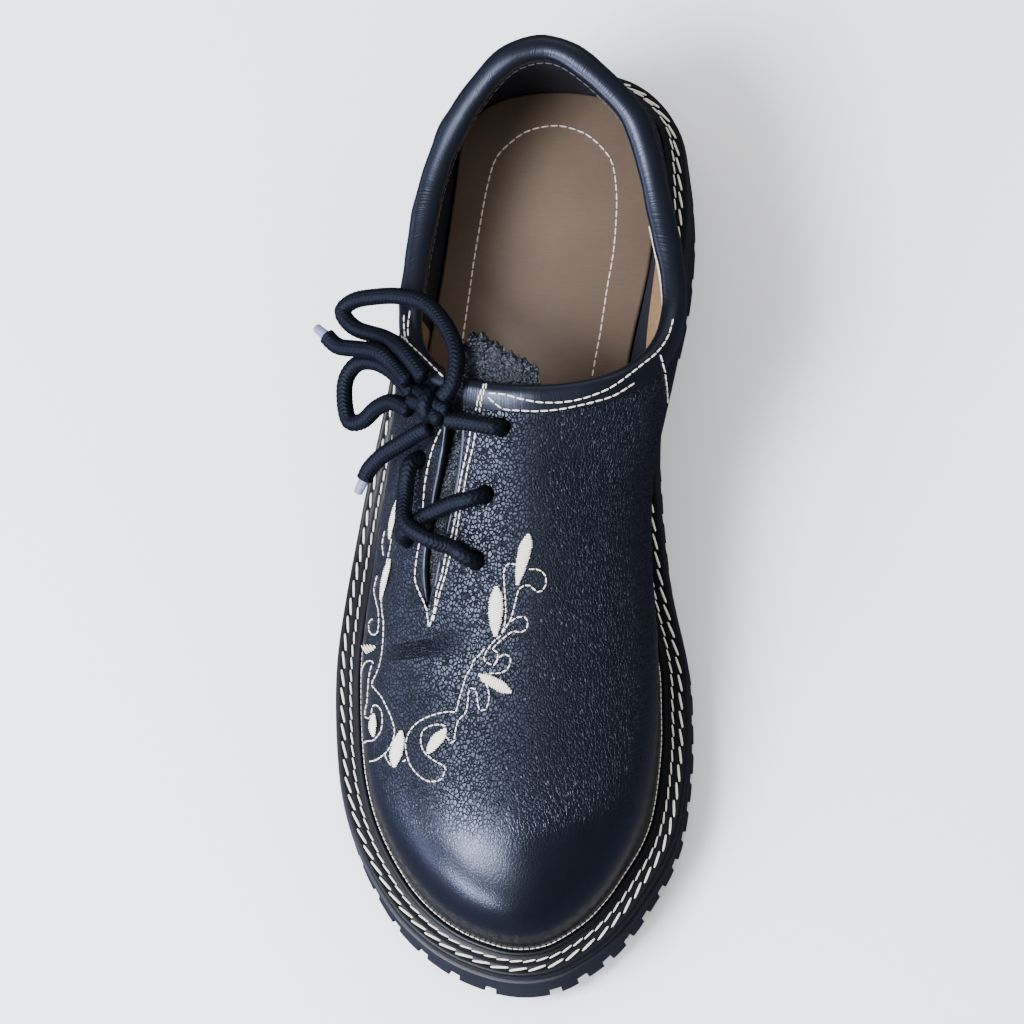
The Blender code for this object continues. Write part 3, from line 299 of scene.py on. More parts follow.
def braided_tube(name, points, thickness=LACE, relief=0.12, sides=50, step=0.00028):
    """A round braid of ten plaits along a route, with a UV map along it and its ridges marked."""
    line = smooth_route(points, step)
    ways = turned_along(line)
    radius = thickness / 2
    rings, ridges = [], []
    gone = 0.0
    for k, (place, (along, side, up)) in enumerate(zip(line, ways)):
        if k:
            gone += (place - line[k - 1]).length
        for i in range(sides):
            turn = 2 * pi * i / sides
            across_plait = (i * 10 / sides) % 1
            slant = across_plait if (i * 10 // sides) % 2 else 1 - across_plait
            ridge = abs(sin(pi * (gone / BRAID_PITCH + slant * 0.75)))
            ridge *= 0.45 + 0.55 * sin(pi * (across_plait + 0.1) / 1.2)
            ridges.append(ridge)
            out = radius * (1 + relief * (ridge - 0.55))
            rings.append(place + side * cos(turn) * out + up * sin(turn) * out)
    count = len(line)
    faces = tube_faces(count, sides)
    ends = []
    for k, direction in ((0, -1), (count - 1, 1)):
        ends.append(len(rings))
        rings.append(line[k] + ways[k][0] * direction * radius * 0.35)
        for i in range(sides):
            a = k * sides + i
            b = k * sides + (i + 1) % sides
            faces.append((ends[-1], a, b))
    mesh = bpy.data.meshes.new(name)
    mesh.from_pydata(rings, [], faces)
    shape = bmesh.new()
    shape.from_mesh(mesh)
    bmesh.ops.recalc_face_normals(shape, faces=shape.faces)
    shape.to_mesh(mesh)
    shape.free()
    # The ridge height is also kept for the braid's colour, which is painted paler on the crowns, a painted
    # sheen, and darker in the grooves, painted shade
    height = mesh.attributes.new("ridge", "FLOAT", "POINT")
    for k, ridge in enumerate(ridges):
        height.data[k].value = ridge
    uv = mesh.uv_layers.new(name="UVMap")
    for loop in mesh.loops:
        v = loop.vertex_index
        if v < count * sides:
            uv.data[loop.index].uv = ((v % sides) / sides, (v // sides) * route_length(line) / (count - 1))
    mesh.shade_smooth()
    return mesh, line


# Polyester braid: dull black, its colour painted paler where the plaits' crowns and fibres stand up, a painted
# sheen, and so darker in the grooves, painted shade
braid, tree, shader, place = new_material("polyester_braid")
fibres = add_node(tree, "ShaderNodeTexNoise", {}, {"Vector": place, "Scale": 2600.0,
                                                   "Detail": 3.0, "Roughness": 0.6})
ridge = add_node(tree, "ShaderNodeAttribute", {"attribute_name": "ridge"}, {})
# Ridge height times fibre noise picks the paler colour: painted sheen on the crowns, painted shade in the
# grooves between plaits
painted_crown_sheen = add_node(tree, "ShaderNodeMath", {"operation": "MULTIPLY"},
                 {0: ridge.outputs["Fac"], 1: fibres.outputs["Fac"]})
shade = add_node(tree, "ShaderNodeMix", {"data_type": "RGBA"},
                 {"Factor": painted_crown_sheen.outputs["Value"], "A": colour("#010102"), "B": colour("#090c13")})
relief = add_node(tree, "ShaderNodeBump", {}, {"Height": fibres.outputs["Fac"], "Strength": 0.5,
                                               "Distance": 0.0003})
surface(tree, shader, shade, relief, 0.55)
shader.inputs["Specular IOR Level"].default_value = 0.22
shader.inputs["Specular Tint"].default_value = colour("#cddcff")

# Moulded tip: smoky violet-grey plastic, a little glossy
tip_plastic, tree, shader, place = new_material("smoky_tip_plastic")
cloud = add_node(tree, "ShaderNodeTexNoise", {}, {"Vector": place, "Scale": 700.0})
shade = add_node(tree, "ShaderNodeMix", {"data_type": "RGBA"},
                 {"Factor": cloud.outputs["Fac"], "A": colour("#4d4f66"), "B": colour("#83869f")})
surface(tree, shader, shade, None, 0.38)


def bound_tip(name, start, onward):
    """A pressed tube over the end of the lace, rounded at its mouth and end."""
    profile = [(0.0, 0.0), (0.0, 0.94), (0.04, 1.0), (0.30, 0.97), (0.62, 0.90), (0.90, 0.86), (0.98, 0.70),
               (1.0, 0.0)]
    side = onward.orthogonal().normalized()
    up = onward.cross(side)
    sides = 20
    points = []
    for along, share in profile:
        for i in range(sides):
            turn = 2 * pi * i / sides
            out = TIP_DIAMETER / 2 * share
            points.append(start + onward * along * TIP_LENGTH + side * cos(turn) * out + up * sin(turn) * out)
    return placed(name, closed_mesh(name, points, tube_faces(len(profile), sides)), tip_plastic)


def metres(points):
    return [Vector(p) / 1000 for p in points]


def neaten_end(points):
    """A point just past the lace's end, and the way the lace runs there, where the tip goes on."""
    onward = (points[-1] - points[-2]).normalized()
    return points[-1] + onward * 0.0003, onward


# The knot: one turn of the lace drawn tight round the strands of the bow
KNOT_TILT = radians(30)
KNOT_TURN = radians(42)
knot_turned = Matrix.Rotation(-KNOT_TURN, 3, "Z") @ Matrix.Rotation(-KNOT_TILT, 3, "Y")
knot_route = []
for k in range(15):
    turn = radians(-150 + 300 * k / 14)
    lean = 0.0022 * sin(turn * 0.6)
    knot_route.append(KNOT + knot_turned @ Vector((lean + 0.0008, -0.0031 * sin(turn), 0.0029 * cos(turn))))
wrap, line = braided_tube("lace_knot_wrap", knot_route, thickness=0.0050)
strand_one, line = braided_tube("strand_one", [
    KNOT + knot_turned @ Vector(p) for p in ((-0.0075, 0.0016, -0.0006), (-0.003, 0.0012, 0.0002),
                                             (0.003, 0.0010, 0.0002), (0.0075, 0.0018, -0.0008))])
strand_two, line = braided_tube("strand_two", [
    KNOT + knot_turned @ Vector(p) for p in ((-0.0075, -0.0022, -0.0014), (-0.003, -0.0014, -0.0008),
                                             (0.003, -0.0014, -0.0008), (0.0075, -0.0022, -0.0014))])
shape = bmesh.new()
for mesh in (wrap, strand_one, strand_two):
    shape.from_mesh(mesh)
knot_mesh = bpy.data.meshes.new("lace_knot_braid")
shape.to_mesh(knot_mesh)
shape.free()
knot_mesh.shade_smooth()
knot = placed("lace_knot_braid", knot_mesh, braid)
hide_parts("lace_knot")

for name, route in (("lace_loop_large", metres(LARGE_LOOP)), ("lace_loop_small", metres(SMALL_LOOP))):
    mesh, line = braided_tube(name + "_braid", route)
    loop_piece = placed(name + "_braid", mesh, braid)
    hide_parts(name)
for name, route in (("upper", metres(UPPER_END)), ("lower", metres(LOWER_END))):
    mesh, line = braided_tube("lace_end_" + name + "_braid", route)
    end_piece = placed("lace_end_" + name + "_braid", mesh, braid)
    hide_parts("lace_end_" + name)
    start, onward = neaten_end(route)
    tip = bound_tip("aglet_" + name + "_tip", start - onward * 0.0012, onward)
    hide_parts("aglet_" + name)


# The outsole
# Black rubber with a blue-grey bloom, moulded with a lip round its top and a row of square lugs round
# its forepart, chevron grooves between, and a raised arch. It is cemented under the midsole.

SOLE_LENGTH = 0.305
BALL_WIDTH = 0.115
HEEL_WIDTH = 0.0875
FOREPART_HEIGHT = 0.021
HEEL_SEAT_HEIGHT = 0.037
TOE_SPRING = 0.0095
GAP = 0.0003
WELT_THICKNESS = 0.003
MIDSOLE_THICKNESS = 0.004
OUTSOLE_PLATE = 0.0085
LIP_HEIGHT = 0.0038
LIP_STEP = 0.0008
TOE_FLARE = 0.0016
LUG_DEPTH = 0.005
LUG_GAP = 0.0032
LUG_REACH = 0.0165
CHANNEL_WIDTH = 0.0035
LATERAL_PITCH = 0.0128
MEDIAL_PITCH = 0.0098
TOE_PITCH = 0.0210
TREAD_START = 0.130
TREAD_BEVEL = 0.004
# Half-widths of the sole as shares of its width, by station as a share of its length from the heel
HEEL_TIP_SHARE = 0.029
TOE_TIP_SHARE = -0.006
LATERAL = [(0.010, 0.211), (0.033, 0.343), (0.072, 0.434), (0.144, 0.471), (0.246, 0.514), (0.361, 0.537),
           (0.492, 0.540), (0.623, 0.557), (0.689, 0.559), (0.770, 0.539), (0.820, 0.509), (0.859, 0.470),
           (0.897, 0.417), (0.928, 0.361), (0.954, 0.294), (0.977, 0.209), (0.993, 0.111)]
MEDIAL = [(0.010, 0.269), (0.033, 0.400), (0.072, 0.491), (0.144, 0.529), (0.197, 0.528), (0.246, 0.512),
          (0.361, 0.413), (0.433, 0.372), (0.508, 0.365), (0.564, 0.377), (0.646, 0.426), (0.695, 0.437),
          (0.748, 0.440), (0.820, 0.423), (0.859, 0.394), (0.897, 0.344), (0.928, 0.296), (0.954, 0.242),
          (0.977, 0.170), (0.993, 0.097)]


def curve_through(keys, values, at):
    """Read a smooth curve through the values at their keys, straight on past the ends."""
    last = len(keys) - 1
    i = 0
    while i < last - 1 and at > keys[i + 1]:
        i += 1
    slopes = []
    for k in (i, i + 1):
        a, b = max(k - 1, 0), min(k + 1, last)
        slopes.append((values[b] - values[a]) / (keys[b] - keys[a]))
    span = keys[i + 1] - keys[i]
    u = min(max((at - keys[i]) / span, 0.0), 1.0)
    h00, h10 = 2 * u ** 3 - 3 * u ** 2 + 1, u ** 3 - 2 * u ** 2 + u
    h01, h11 = -2 * u ** 3 + 3 * u ** 2, u ** 3 - u ** 2
    return h00 * values[i] + h10 * span * slopes[0] + h01 * values[i + 1] + h11 * span * slopes[1]


def smooth_step(at, low, high):
    u = min(max((at - low) / (high - low), 0.0), 1.0)
    return u * u * (3 - 2 * u)


def width_at(share):
    return HEEL_WIDTH + (BALL_WIDTH - HEEL_WIDTH) * smooth_step(share, 0.25, 0.60)


ring = [(0.0, HEEL_TIP_SHARE * HEEL_WIDTH)]
ring += [(acos(1 - 2 * s), -share * width_at(s)) for s, share in LATERAL]
ring += [(pi, TOE_TIP_SHARE * BALL_WIDTH)]
ring += [(2 * pi - acos(1 - 2 * s), share * width_at(s)) for s, share in reversed(MEDIAL)]
knots = [(a - 2 * pi, x) for a, x in ring[-2:]] + ring + [(a + 2 * pi, x) for a, x in ring[:3]]
OUTLINE_ANGLES = [a for a, x in knots]
OUTLINE_SIDES = [x + SOLE_SHIFT for a, x in knots]


def station_angle(station):
    """The angle round the sole at which a side reaches a station."""
    return acos(1 - 2 * min(max(station / SOLE_LENGTH, 0.0), 1.0))


def edge_point(angle):
    turn = angle % (2 * pi)
    return Vector((curve_through(OUTLINE_ANGLES, OUTLINE_SIDES, turn), SOLE_LENGTH * cos(turn) / 2))


def outward(angle):
    along = edge_point(angle + 0.01) - edge_point(angle - 0.01)
    return Vector((along.y, -along.x)).normalized()


def inset_point(angle, inset):
    return edge_point(angle) - outward(angle) * inset


def station_of(y):
    return SOLE_LENGTH / 2 - y


def toe_share(angle):
    return smooth_step(pi - abs(pi - angle % (2 * pi)), radians(120), radians(180))


def flare(angle):
    return TOE_FLARE * toe_share(angle)


def spring(station):
    """How far the sole lifts off the floor towards the toe."""
    start = 0.70 * SOLE_LENGTH
    return TOE_SPRING * max(0.0, (station - start) / (SOLE_LENGTH - start)) ** 1.6


def welt_top(station):
    heel = 1 - smooth_step(station / SOLE_LENGTH, 0.290, 0.545)
    return FOREPART_HEIGHT + (HEEL_SEAT_HEIGHT - FOREPART_HEIGHT) * heel + spring(station)


def midsole_top(station):
    return welt_top(station) - WELT_THICKNESS - GAP


def outsole_top(station):
    return midsole_top(station) - MIDSOLE_THICKNESS - GAP


def tread_bottom(station):
    return spring(station) if station > TREAD_START else outsole_top(station) - OUTSOLE_PLATE


def round_angles(count, extra=()):
    return sorted([2 * pi * k / count for k in range(count)] + list(extra))


def layered_plate(name, layers, angles):
    """A closed plate of the sole's plan from layers of (inset, height), which are functions."""
    count = len(angles)
    points = []
    for inset, height in layers:
        for angle in angles:
            spot = inset_point(angle, inset(angle))
            points.append((spot.x, spot.y, height(station_of(spot.y))))
    faces = tube_faces(len(layers), count)
    for start in (0, (len(layers) - 1) * count):
        for k in range(count // 2):
            left = (start + k, start + k + 1)
            right = (start + (count - k) % count, start + count - k - 1)
            faces.append((left[0], left[1], right[1], right[0]))
    return closed_mesh(name, points, faces)


def prism(name, plan, low, high):
    """An upright block of a plan given as points once round it."""
    count = len(plan)
    points = [(x, y, z) for z in (low, high) for x, y in plan]
    faces = [(i, (i + 1) % count, count + (i + 1) % count, count + i) for i in range(count)]
    faces += [tuple(range(count)), tuple(range(2 * count - 1, count - 1, -1))]
    return closed_mesh(name, points, faces)


def cut_with(mesh, cutters, name):
    """The mesh with the cutters taken out of it exactly, as a new mesh."""
    tools = bpy.data.collections.new(name + "_tools")
    for cutter in cutters:
        tools.objects.link(bpy.data.objects.new(cutter.name, cutter))
    blank = bpy.data.objects.new(name + "_blank", mesh)
    bpy.context.scene.collection.objects.link(blank)
    bpy.context.scene.collection.children.link(tools)
    modifier = blank.modifiers.new("cut", "BOOLEAN")
    modifier.operation = "DIFFERENCE"
    modifier.solver = "EXACT"
    modifier.operand_type = "COLLECTION"
    modifier.collection = tools
    result = bpy.data.meshes.new_from_object(blank.evaluated_get(bpy.context.evaluated_depsgraph_get()))
    for thing in [blank] + list(tools.objects):
        bpy.data.objects.remove(thing, do_unlink=True)
    bpy.data.collections.remove(tools)
    result.name = name
    result.shade_smooth()
    result.set_sharp_from_angle(angle=radians(38))
    return result


def edge_walk(start, end, first, pitch):
    """Angles of even steps along the sole's edge."""
    step = radians(0.25) * (1 if end > start else -1)
    angles = []
    gone = pitch - first
    at = start
    while (at - end) * step < 0:
        gone += (edge_point(at + step) - edge_point(at)).length
        at += step
        if gone >= pitch:
            angles.append(at)
            gone -= pitch
    return angles


def edge_slot(name, angle, floor_at):
    """The gap between two lugs of the edge, a little wider at its mouth."""
    out = outward(angle)
    along = Vector((-out.y, out.x)) * LUG_GAP / 2
    outside, inside = inset_point(angle, -LUG_DEPTH), inset_point(angle, LUG_REACH)
    plan = [outside + along * 1.35, inside + along * 0.8, inside - along * 0.8, outside - along * 1.35]
    top = floor_at(station_of(inset_point(angle, LUG_REACH / 2).y)) + LUG_DEPTH
    return prism(name, [tuple(p) for p in plan], -LUG_DEPTH, top)


def channel(name, angles, floor_at):
    """The groove behind the row of edge lugs."""
    insets = (LUG_REACH - CHANNEL_WIDTH / 2, LUG_REACH + CHANNEL_WIDTH / 2)
    points = []
    for angle in angles:
        for inset, high in ((insets[0], 0), (insets[1], 0), (insets[1], 1), (insets[0], 1)):
            spot = inset_point(angle, inset)
            top = floor_at(station_of(spot.y)) + LUG_DEPTH
            points.append((spot.x, spot.y, top if high else -LUG_DEPTH))
    faces = [(0, 1, 2, 3), tuple(range(len(points) - 1, len(points) - 5, -1))]
    for k in range(len(angles) - 1):
        for i in range(4):
            a, b = 4 * k + i, 4 * k + (i + 1) % 4
            faces.append((a, b, b + 4, a + 4))
    return closed_mesh(name, points, faces)


def chevron(name, station, rake, floor_at):
    """A groove across the sole, bent forwards in the middle, from channel to channel."""
    angle = station_angle(station + rake)
    left, right = inset_point(angle, LUG_REACH), inset_point(2 * pi - angle, LUG_REACH)
    tip = Vector(((left.x + right.x) / 2, SOLE_LENGTH / 2 - station))
    back = Vector((0, LUG_GAP))
    plan = [left, tip, right, right + back, tip + back, left + back]
    return prism(name, [tuple(p) for p in plan], -LUG_DEPTH, floor_at(station) + LUG_DEPTH)


def sole_rubber(name, pale, dark):
    """Moulded rubber: dull, faintly mottled, with a fine cast grain and paler where it has rubbed."""
    material, tree, shader, place = new_material(name)
    bloom = add_node(tree, "ShaderNodeTexNoise", {}, {"Vector": place, "Scale": 60.0, "Detail": 4.0})
    # Cast grain of about half a millimetre
    grain = add_node(tree, "ShaderNodeTexNoise", {}, {"Vector": place, "Scale": 2000.0, "Detail": 2.0})
    shade = add_node(tree, "ShaderNodeMix", {"data_type": "RGBA"},
                     {"Factor": bloom.outputs["Fac"], "A": colour(dark), "B": colour(pale)})
    relief = add_node(tree, "ShaderNodeBump", {}, {"Height": grain.outputs["Fac"], "Strength": 0.25,
                                                   "Distance": 0.0002})
    surface(tree, shader, shade, relief, 0.52, 1.52)
    shader.inputs["Specular IOR Level"].default_value = 0.5
    return material


rubber = sole_rubber("moulded_rubber", "#171a24", "#0c0e15")

fine = round_angles(240, [a for s in (TREAD_START - GAP, TREAD_START + TREAD_BEVEL)
                          for a in (station_angle(s), 2 * pi - station_angle(s))])
outsole_layers = [
    (lambda a: 0.0006, tread_bottom),
    (lambda a: 0.0, lambda s: tread_bottom(s) + 0.0008),
    (lambda a: flare(a) + LIP_STEP, lambda s: outsole_top(s) - LIP_HEIGHT - LIP_STEP),
    (lambda a: flare(a) + LIP_STEP * 0.75, lambda s: outsole_top(s) - LIP_HEIGHT - LIP_STEP * 0.4),
    (lambda a: flare(a) + 0.0001, lambda s: outsole_top(s) - LIP_HEIGHT),
    (lambda a: flare(a), lambda s: outsole_top(s) - 0.0006),
    (lambda a: flare(a) + 0.0002, lambda s: outsole_top(s) - 0.0002),
    (lambda a: flare(a) + 0.0006, outsole_top),
]
tread_end = station_angle(TREAD_START)
slots = edge_walk(pi, tread_end, TOE_PITCH / 2, LATERAL_PITCH)
slots += edge_walk(pi, 2 * pi - tread_end, TOE_PITCH / 2, MEDIAL_PITCH)
cutters = [edge_slot("edge_gap_" + str(k), angle, spring) for k, angle in enumerate(slots)]
first = station_angle(TREAD_START - LUG_GAP)
cutters.append(channel("channel", [first + (2 * pi - 2 * first) * k / 60 for k in range(61)], spring))
cutters += [chevron("chevron_" + str(k), 0.150 + k * 0.0175, -0.010, spring) for k in range(8)]
outsole = placed("outsole_rubber", cut_with(layered_plate("outsole_blank", outsole_layers, fine), cutters,
                                            "outsole_rubber"), rubber)
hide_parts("outsole")


# The heel
# A block of the same rubber under the heel seat, with a hollowed breast and its own edge lugs.

HEEL_LENGTH = 0.088
BREAST_CURVE = 0.006
heel_rubber = sole_rubber("moulded_heel_rubber", "#161922", "#0b0d13")
end = station_angle(HEEL_LENGTH)
plan = [edge_point(-end + 2 * end * k / 72) for k in range(73)]
middle, half = (plan[0].x + plan[-1].x) / 2, (plan[-1].x - plan[0].x) / 2
breast = []
for k in range(1, 16):
    share = 1 - k / 8
    breast.append(Vector((middle + half * share, plan[0].y + BREAST_CURVE * (1 - share * share))))
heel_plan = [tuple(p) for p in plan + breast]
heel_mesh = prism("heel_blank", heel_plan, 0.0, outsole_top(0.0) - OUTSOLE_PLATE - GAP)
slots = edge_walk(-end, end, LATERAL_PITCH, LATERAL_PITCH)
cutters = [edge_slot("heel_gap_" + str(k), angle, lambda s: 0.0) for k, angle in enumerate(slots)]
past = station_angle(HEEL_LENGTH + LUG_GAP)
cutters.append(channel("heel_channel", [-past + 2 * past * k / 48 for k in range(49)], lambda s: 0.0))
cutters += [chevron("heel_bar_" + str(k), k * 0.022, 0.0, lambda s: 0.0) for k in (2, 3)]
heel = placed("heel_rubber", cut_with(heel_mesh, cutters, "heel_rubber"), heel_rubber)
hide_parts("heel")


# The midsole
# A thin layer of dyed leather board between welt and outsole, its edge inked black and waxed.

WELT_SETBACK = 0.001
edge_ink, tree, shader, place = new_material("inked_leather_board")
stretched = add_node(tree, "ShaderNodeMapping", {}, {"Vector": place,
                                                     "Scale": (1.0, 1.0, 9.0)})
# Pressed fibre layers about 0.4 mm apart in the edge
layers = add_node(tree, "ShaderNodeTexNoise", {}, {"Vector": stretched.outputs["Vector"], "Scale": 280.0,
                                                   "Detail": 3.0})
shade = add_node(tree, "ShaderNodeMix", {"data_type": "RGBA"},
                 {"Factor": layers.outputs["Fac"], "A": colour("#0c0c0f"), "B": colour("#1e1f26")})
relief = add_node(tree, "ShaderNodeBump", {}, {"Height": layers.outputs["Fac"], "Strength": 0.4,
                                               "Distance": 0.0002})
surface(tree, shader, shade, relief, 0.45)
midsole_layers = [
    (lambda a: flare(a) + WELT_SETBACK + 0.0003, lambda s: midsole_top(s) - MIDSOLE_THICKNESS),
    (lambda a: flare(a) + WELT_SETBACK, lambda s: midsole_top(s) - MIDSOLE_THICKNESS + 0.0003),
    (lambda a: flare(a) + WELT_SETBACK, lambda s: midsole_top(s) - 0.0003),
    (lambda a: flare(a) + WELT_SETBACK + 0.0003, midsole_top),
]
midsole = placed("midsole_board", layered_plate("midsole_board", midsole_layers, round_angles(240)),
                 edge_ink)
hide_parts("midsole")


# The welt
# A strip of black welt leather all round, sewn down by two rows of waxed linen, with a rib standing
# against the upper. The outer row is thick and slanted, the inner one finer.

RIB_WIDTH = 0.0015
RIB_HEIGHT = 0.0014
RIB_CLEARANCE = 0.0005
UPPER_WALL = 0.002
HEEL_REACH = 0.007
SIDE_REACH = 0.0093
TOE_REACH = 0.011


def reach(angle):
    """How far the upper's foot stands inside the sole's edge."""
    from_heel = pi - abs(pi - angle % (2 * pi))
    side = smooth_step(from_heel, radians(0), radians(75))
    return HEEL_REACH + (SIDE_REACH - HEEL_REACH) * side + (TOE_REACH - SIDE_REACH) * toe_share(angle)


def outer_row(angle):
    return flare(angle) + WELT_SETBACK + 0.0021


def inner_row(angle):
    return reach(angle) - RIB_CLEARANCE - RIB_WIDTH - 0.0016


def welt_section(angle):
    """Once round the strip: its edge, the furrow of each row of stitches, and the rounded rib."""
    edge = flare(angle) + WELT_SETBACK
    rib = reach(angle) - RIB_CLEARANCE
    outer, inner = outer_row(angle), inner_row(angle)
    return [(edge + 0.0003, -WELT_THICKNESS), (edge, -WELT_THICKNESS + 0.0003), (edge, -0.0007),
            (edge + 0.0002, -0.0002), (edge + 0.0007, 0.0), (outer - 0.0007, 0.0), (outer, -0.00035),
            (outer + 0.0007, 0.0), (inner - 0.0006, 0.0), (inner, -0.0003), (inner + 0.0006, 0.0),
            (rib - RIB_WIDTH, 0.0002), (rib - RIB_WIDTH, 0.0009), (rib - RIB_WIDTH * 0.78, 0.0013),
            (rib - RIB_WIDTH / 2, RIB_HEIGHT), (rib - RIB_WIDTH * 0.22, 0.0013), (rib, 0.0009),
            (rib, 0.0), (reach(angle) + UPPER_WALL, 0.0), (reach(angle) + UPPER_WALL, -WELT_THICKNESS)]


angles = round_angles(300)
points = []
for angle in angles:
    for inset, rise in welt_section(angle):
        spot = inset_point(angle, inset)
        points.append((spot.x, spot.y, welt_top(station_of(spot.y)) + rise))
rows = len(points) // len(angles)
faces = []
for k in range(len(angles)):
    after = (k + 1) % len(angles)
    for i in range(rows):
        up = (i + 1) % rows
        faces.append((k * rows + i, after * rows + i, after * rows + up, k * rows + up))
welt_leather, tree, shader, place = new_material("black_welt_leather")
# Tight grain of about a millimetre
grain = add_node(tree, "ShaderNodeTexVoronoi", {"feature": "DISTANCE_TO_EDGE"},
                 {"Vector": place, "Scale": 1000.0})
cloud = add_node(tree, "ShaderNodeTexNoise", {}, {"Vector": place, "Scale": 220.0})
shade = add_node(tree, "ShaderNodeMix", {"data_type": "RGBA"},
                 {"Factor": cloud.outputs["Fac"], "A": colour("#040506"), "B": colour("#0c0e13")})
relief = add_node(tree, "ShaderNodeBump", {}, {"Height": grain.outputs["Distance"], "Strength": 0.25,
                                               "Distance": 0.0002})
surface(tree, shader, shade, relief, 0.45)
shader.inputs["Specular IOR Level"].default_value = 0.3
welt_mesh = closed_mesh("welt_strip", points, faces)
welt_mesh.set_sharp_from_angle(angle=radians(50))
welt = placed("welt_strip", welt_mesh, welt_leather)
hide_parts("welt")


# The insole
# A full footbed of undyed tan leather, shaved smooth, with an oval row of off-white stitches.

INSOLE_THICKNESS = 0.005
INSOLE_CLEARANCE = 0.0005
tan, tree, shader, place = new_material("undyed_tan_leather")
cloud = add_node(tree, "ShaderNodeTexNoise", {}, {"Vector": place, "Scale": 45.0, "Detail": 5.0})
drawn = add_node(tree, "ShaderNodeMapping", {}, {"Vector": place, "Scale": (1.0, 7.0, 1.0)})
# Fine cross streaks of the shaved grain, about 0.5 mm apart
streaks = add_node(tree, "ShaderNodeTexNoise", {}, {"Vector": drawn.outputs["Vector"], "Scale": 300.0,
                                                    "Detail": 2.0})
shade = add_node(tree, "ShaderNodeMix", {"data_type": "RGBA"},
                 {"Factor": cloud.outputs["Fac"], "A": colour("#625040"), "B": colour("#786552")})
fleck = add_node(tree, "ShaderNodeMix", {"data_type": "RGBA", "blend_type": "MULTIPLY"},
                 {"Factor": 0.35, "A": shade.outputs["Result"], "B": streaks.outputs["Color"]})
relief = add_node(tree, "ShaderNodeBump", {}, {"Height": streaks.outputs["Fac"], "Strength": 0.2,
                                               "Distance": 0.0002})
surface(tree, shader, fleck, relief, 0.58, 1.48)


def insole_edge(angle):
    return reach(angle) + UPPER_WALL + INSOLE_CLEARANCE


def insole_top(station):
    return midsole_top(station) + GAP + INSOLE_THICKNESS


insole_layers = [
    (insole_edge, lambda s: insole_top(s) - INSOLE_THICKNESS),
    (insole_edge, lambda s: insole_top(s) - 0.0012),
    (lambda a: insole_edge(a) + 0.0003, lambda s: insole_top(s) - 0.0004),
    (lambda a: insole_edge(a) + 0.0010, insole_top),
]
insole = placed("insole_footbed", layered_plate("insole_footbed", insole_layers, round_angles(200)), tan)
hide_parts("insole")


# The upper
# Vamp and quarters of black cowhide, 2 mm thick, lasted over the foot's shape. The grain is pebbled
# over the instep and the sides and boned smooth at the toe and along the welt, with soft folds.

INSTEP_HEIGHT = 0.100
TOE_BOX_HEIGHT = 0.0645
COLLAR_HEIGHT = 0.098
COLLAR_DIP_HEIGHT = 0.0825
COLLAR_ROLL = 0.0070
COLLAR_DEPTH = 0.0085
FOOT_RISE = 0.0025
COLLAR_COLUMNS = 22
RIDGE_COLUMNS = 18
WALL_ROWS = 11
# Crest of the collar: station, side, heel and instep height, flare, angle of the foot, padding
COLLAR_HEEL = (0.0565, 0.023, 1.00, 0.00, 12, 0.0, 1.00)
LATERAL_COLLAR = [
    (0.069, -0.108, 0.95, 0.00, 12, 15.0, 1.00), (0.108, -0.235, 0.64, 0.00, 11, 28.0, 1.00),
    (0.151, -0.322, 0.34, 0.00, 10, 38.0, 1.00), (0.190, -0.368, 0.15, 0.00, 9, 46.5, 1.00),
    (0.233, -0.396, 0.04, 0.00, 9, 54.5, 1.00), (0.275, -0.415, 0.00, 0.00, 9, 62.0, 0.95),
    (0.318, -0.424, 0.00, 0.03, 12, 68.5, 0.88), (0.358, -0.406, 0.00, 0.23, 20, 74.5, 0.78),
    (0.391, -0.348, 0.00, 0.54, 34, 79.5, 0.66), (0.413, -0.249, 0.00, 0.77, 50, 83.0, 0.56),
    (0.424, -0.126, 0.00, 0.94, 62, 86.2, 0.50)]
COLLAR_FRONT = (0.427, 0.000, 0.00, 1.00, 67, 89.5, 0.50)
MEDIAL_COLLAR = [
    (0.069, 0.140, 0.95, 0.00, 12, 15.0, 1.00), (0.116, 0.325, 0.60, 0.00, 11, 28.0, 1.00),
    (0.153, 0.384, 0.36, 0.00, 10, 38.0, 1.00), (0.206, 0.432, 0.13, 0.00, 8, 47.0, 1.00),
    (0.262, 0.480, 0.04, 0.00, 6, 56.0, 1.00), (0.292, 0.498, 0.02, 0.02, 6, 63.0, 0.95),
    (0.322, 0.500, 0.00, 0.08, 10, 69.0, 0.88), (0.355, 0.473, 0.00, 0.26, 20, 75.0, 0.78),
    (0.386, 0.409, 0.00, 0.53, 36, 80.0, 0.66), (0.411, 0.296, 0.00, 0.81, 50, 83.5, 0.56),
    (0.424, 0.146, 0.00, 0.95, 62, 86.5, 0.50)]
# Ridge over the instep, from the collar, 0, to the toe, 1: place, share of the fall, side
RIDGE_END = 0.820
RIDGE_FEET = 0.880
RIDGE = [(0.00, 0.000, 0.000), (0.17, 0.262, 0.006), (0.40, 0.560, 0.006), (0.68, 0.831, -0.010),
         (1.00, 1.000, -0.028)]
# How the wall rises, by angle round the sole: lean, and pull of the curve at the foot and the top
LATERAL_WALL = [(0, 12, 0.34, 0.34), (30, 10, 0.34, 0.34), (60, 6, 0.34, 0.34), (75, 4, 0.46, 0.42),
                (85, 2, 0.66, 0.56), (100, 3, 0.68, 0.60), (120, 8, 0.68, 0.62), (150, 6, 0.70, 0.66),
                (180, 4, 0.70, 0.68)]
MEDIAL_WALL = [(0, 12, 0.34, 0.34), (30, 10, 0.34, 0.34), (60, 18, 0.36, 0.34), (75, 34, 0.46, 0.42),
               (85, 36, 0.62, 0.56), (100, 24, 0.64, 0.60), (120, 8, 0.66, 0.62), (150, 6, 0.70, 0.66),
               (180, 4, 0.70, 0.68)]

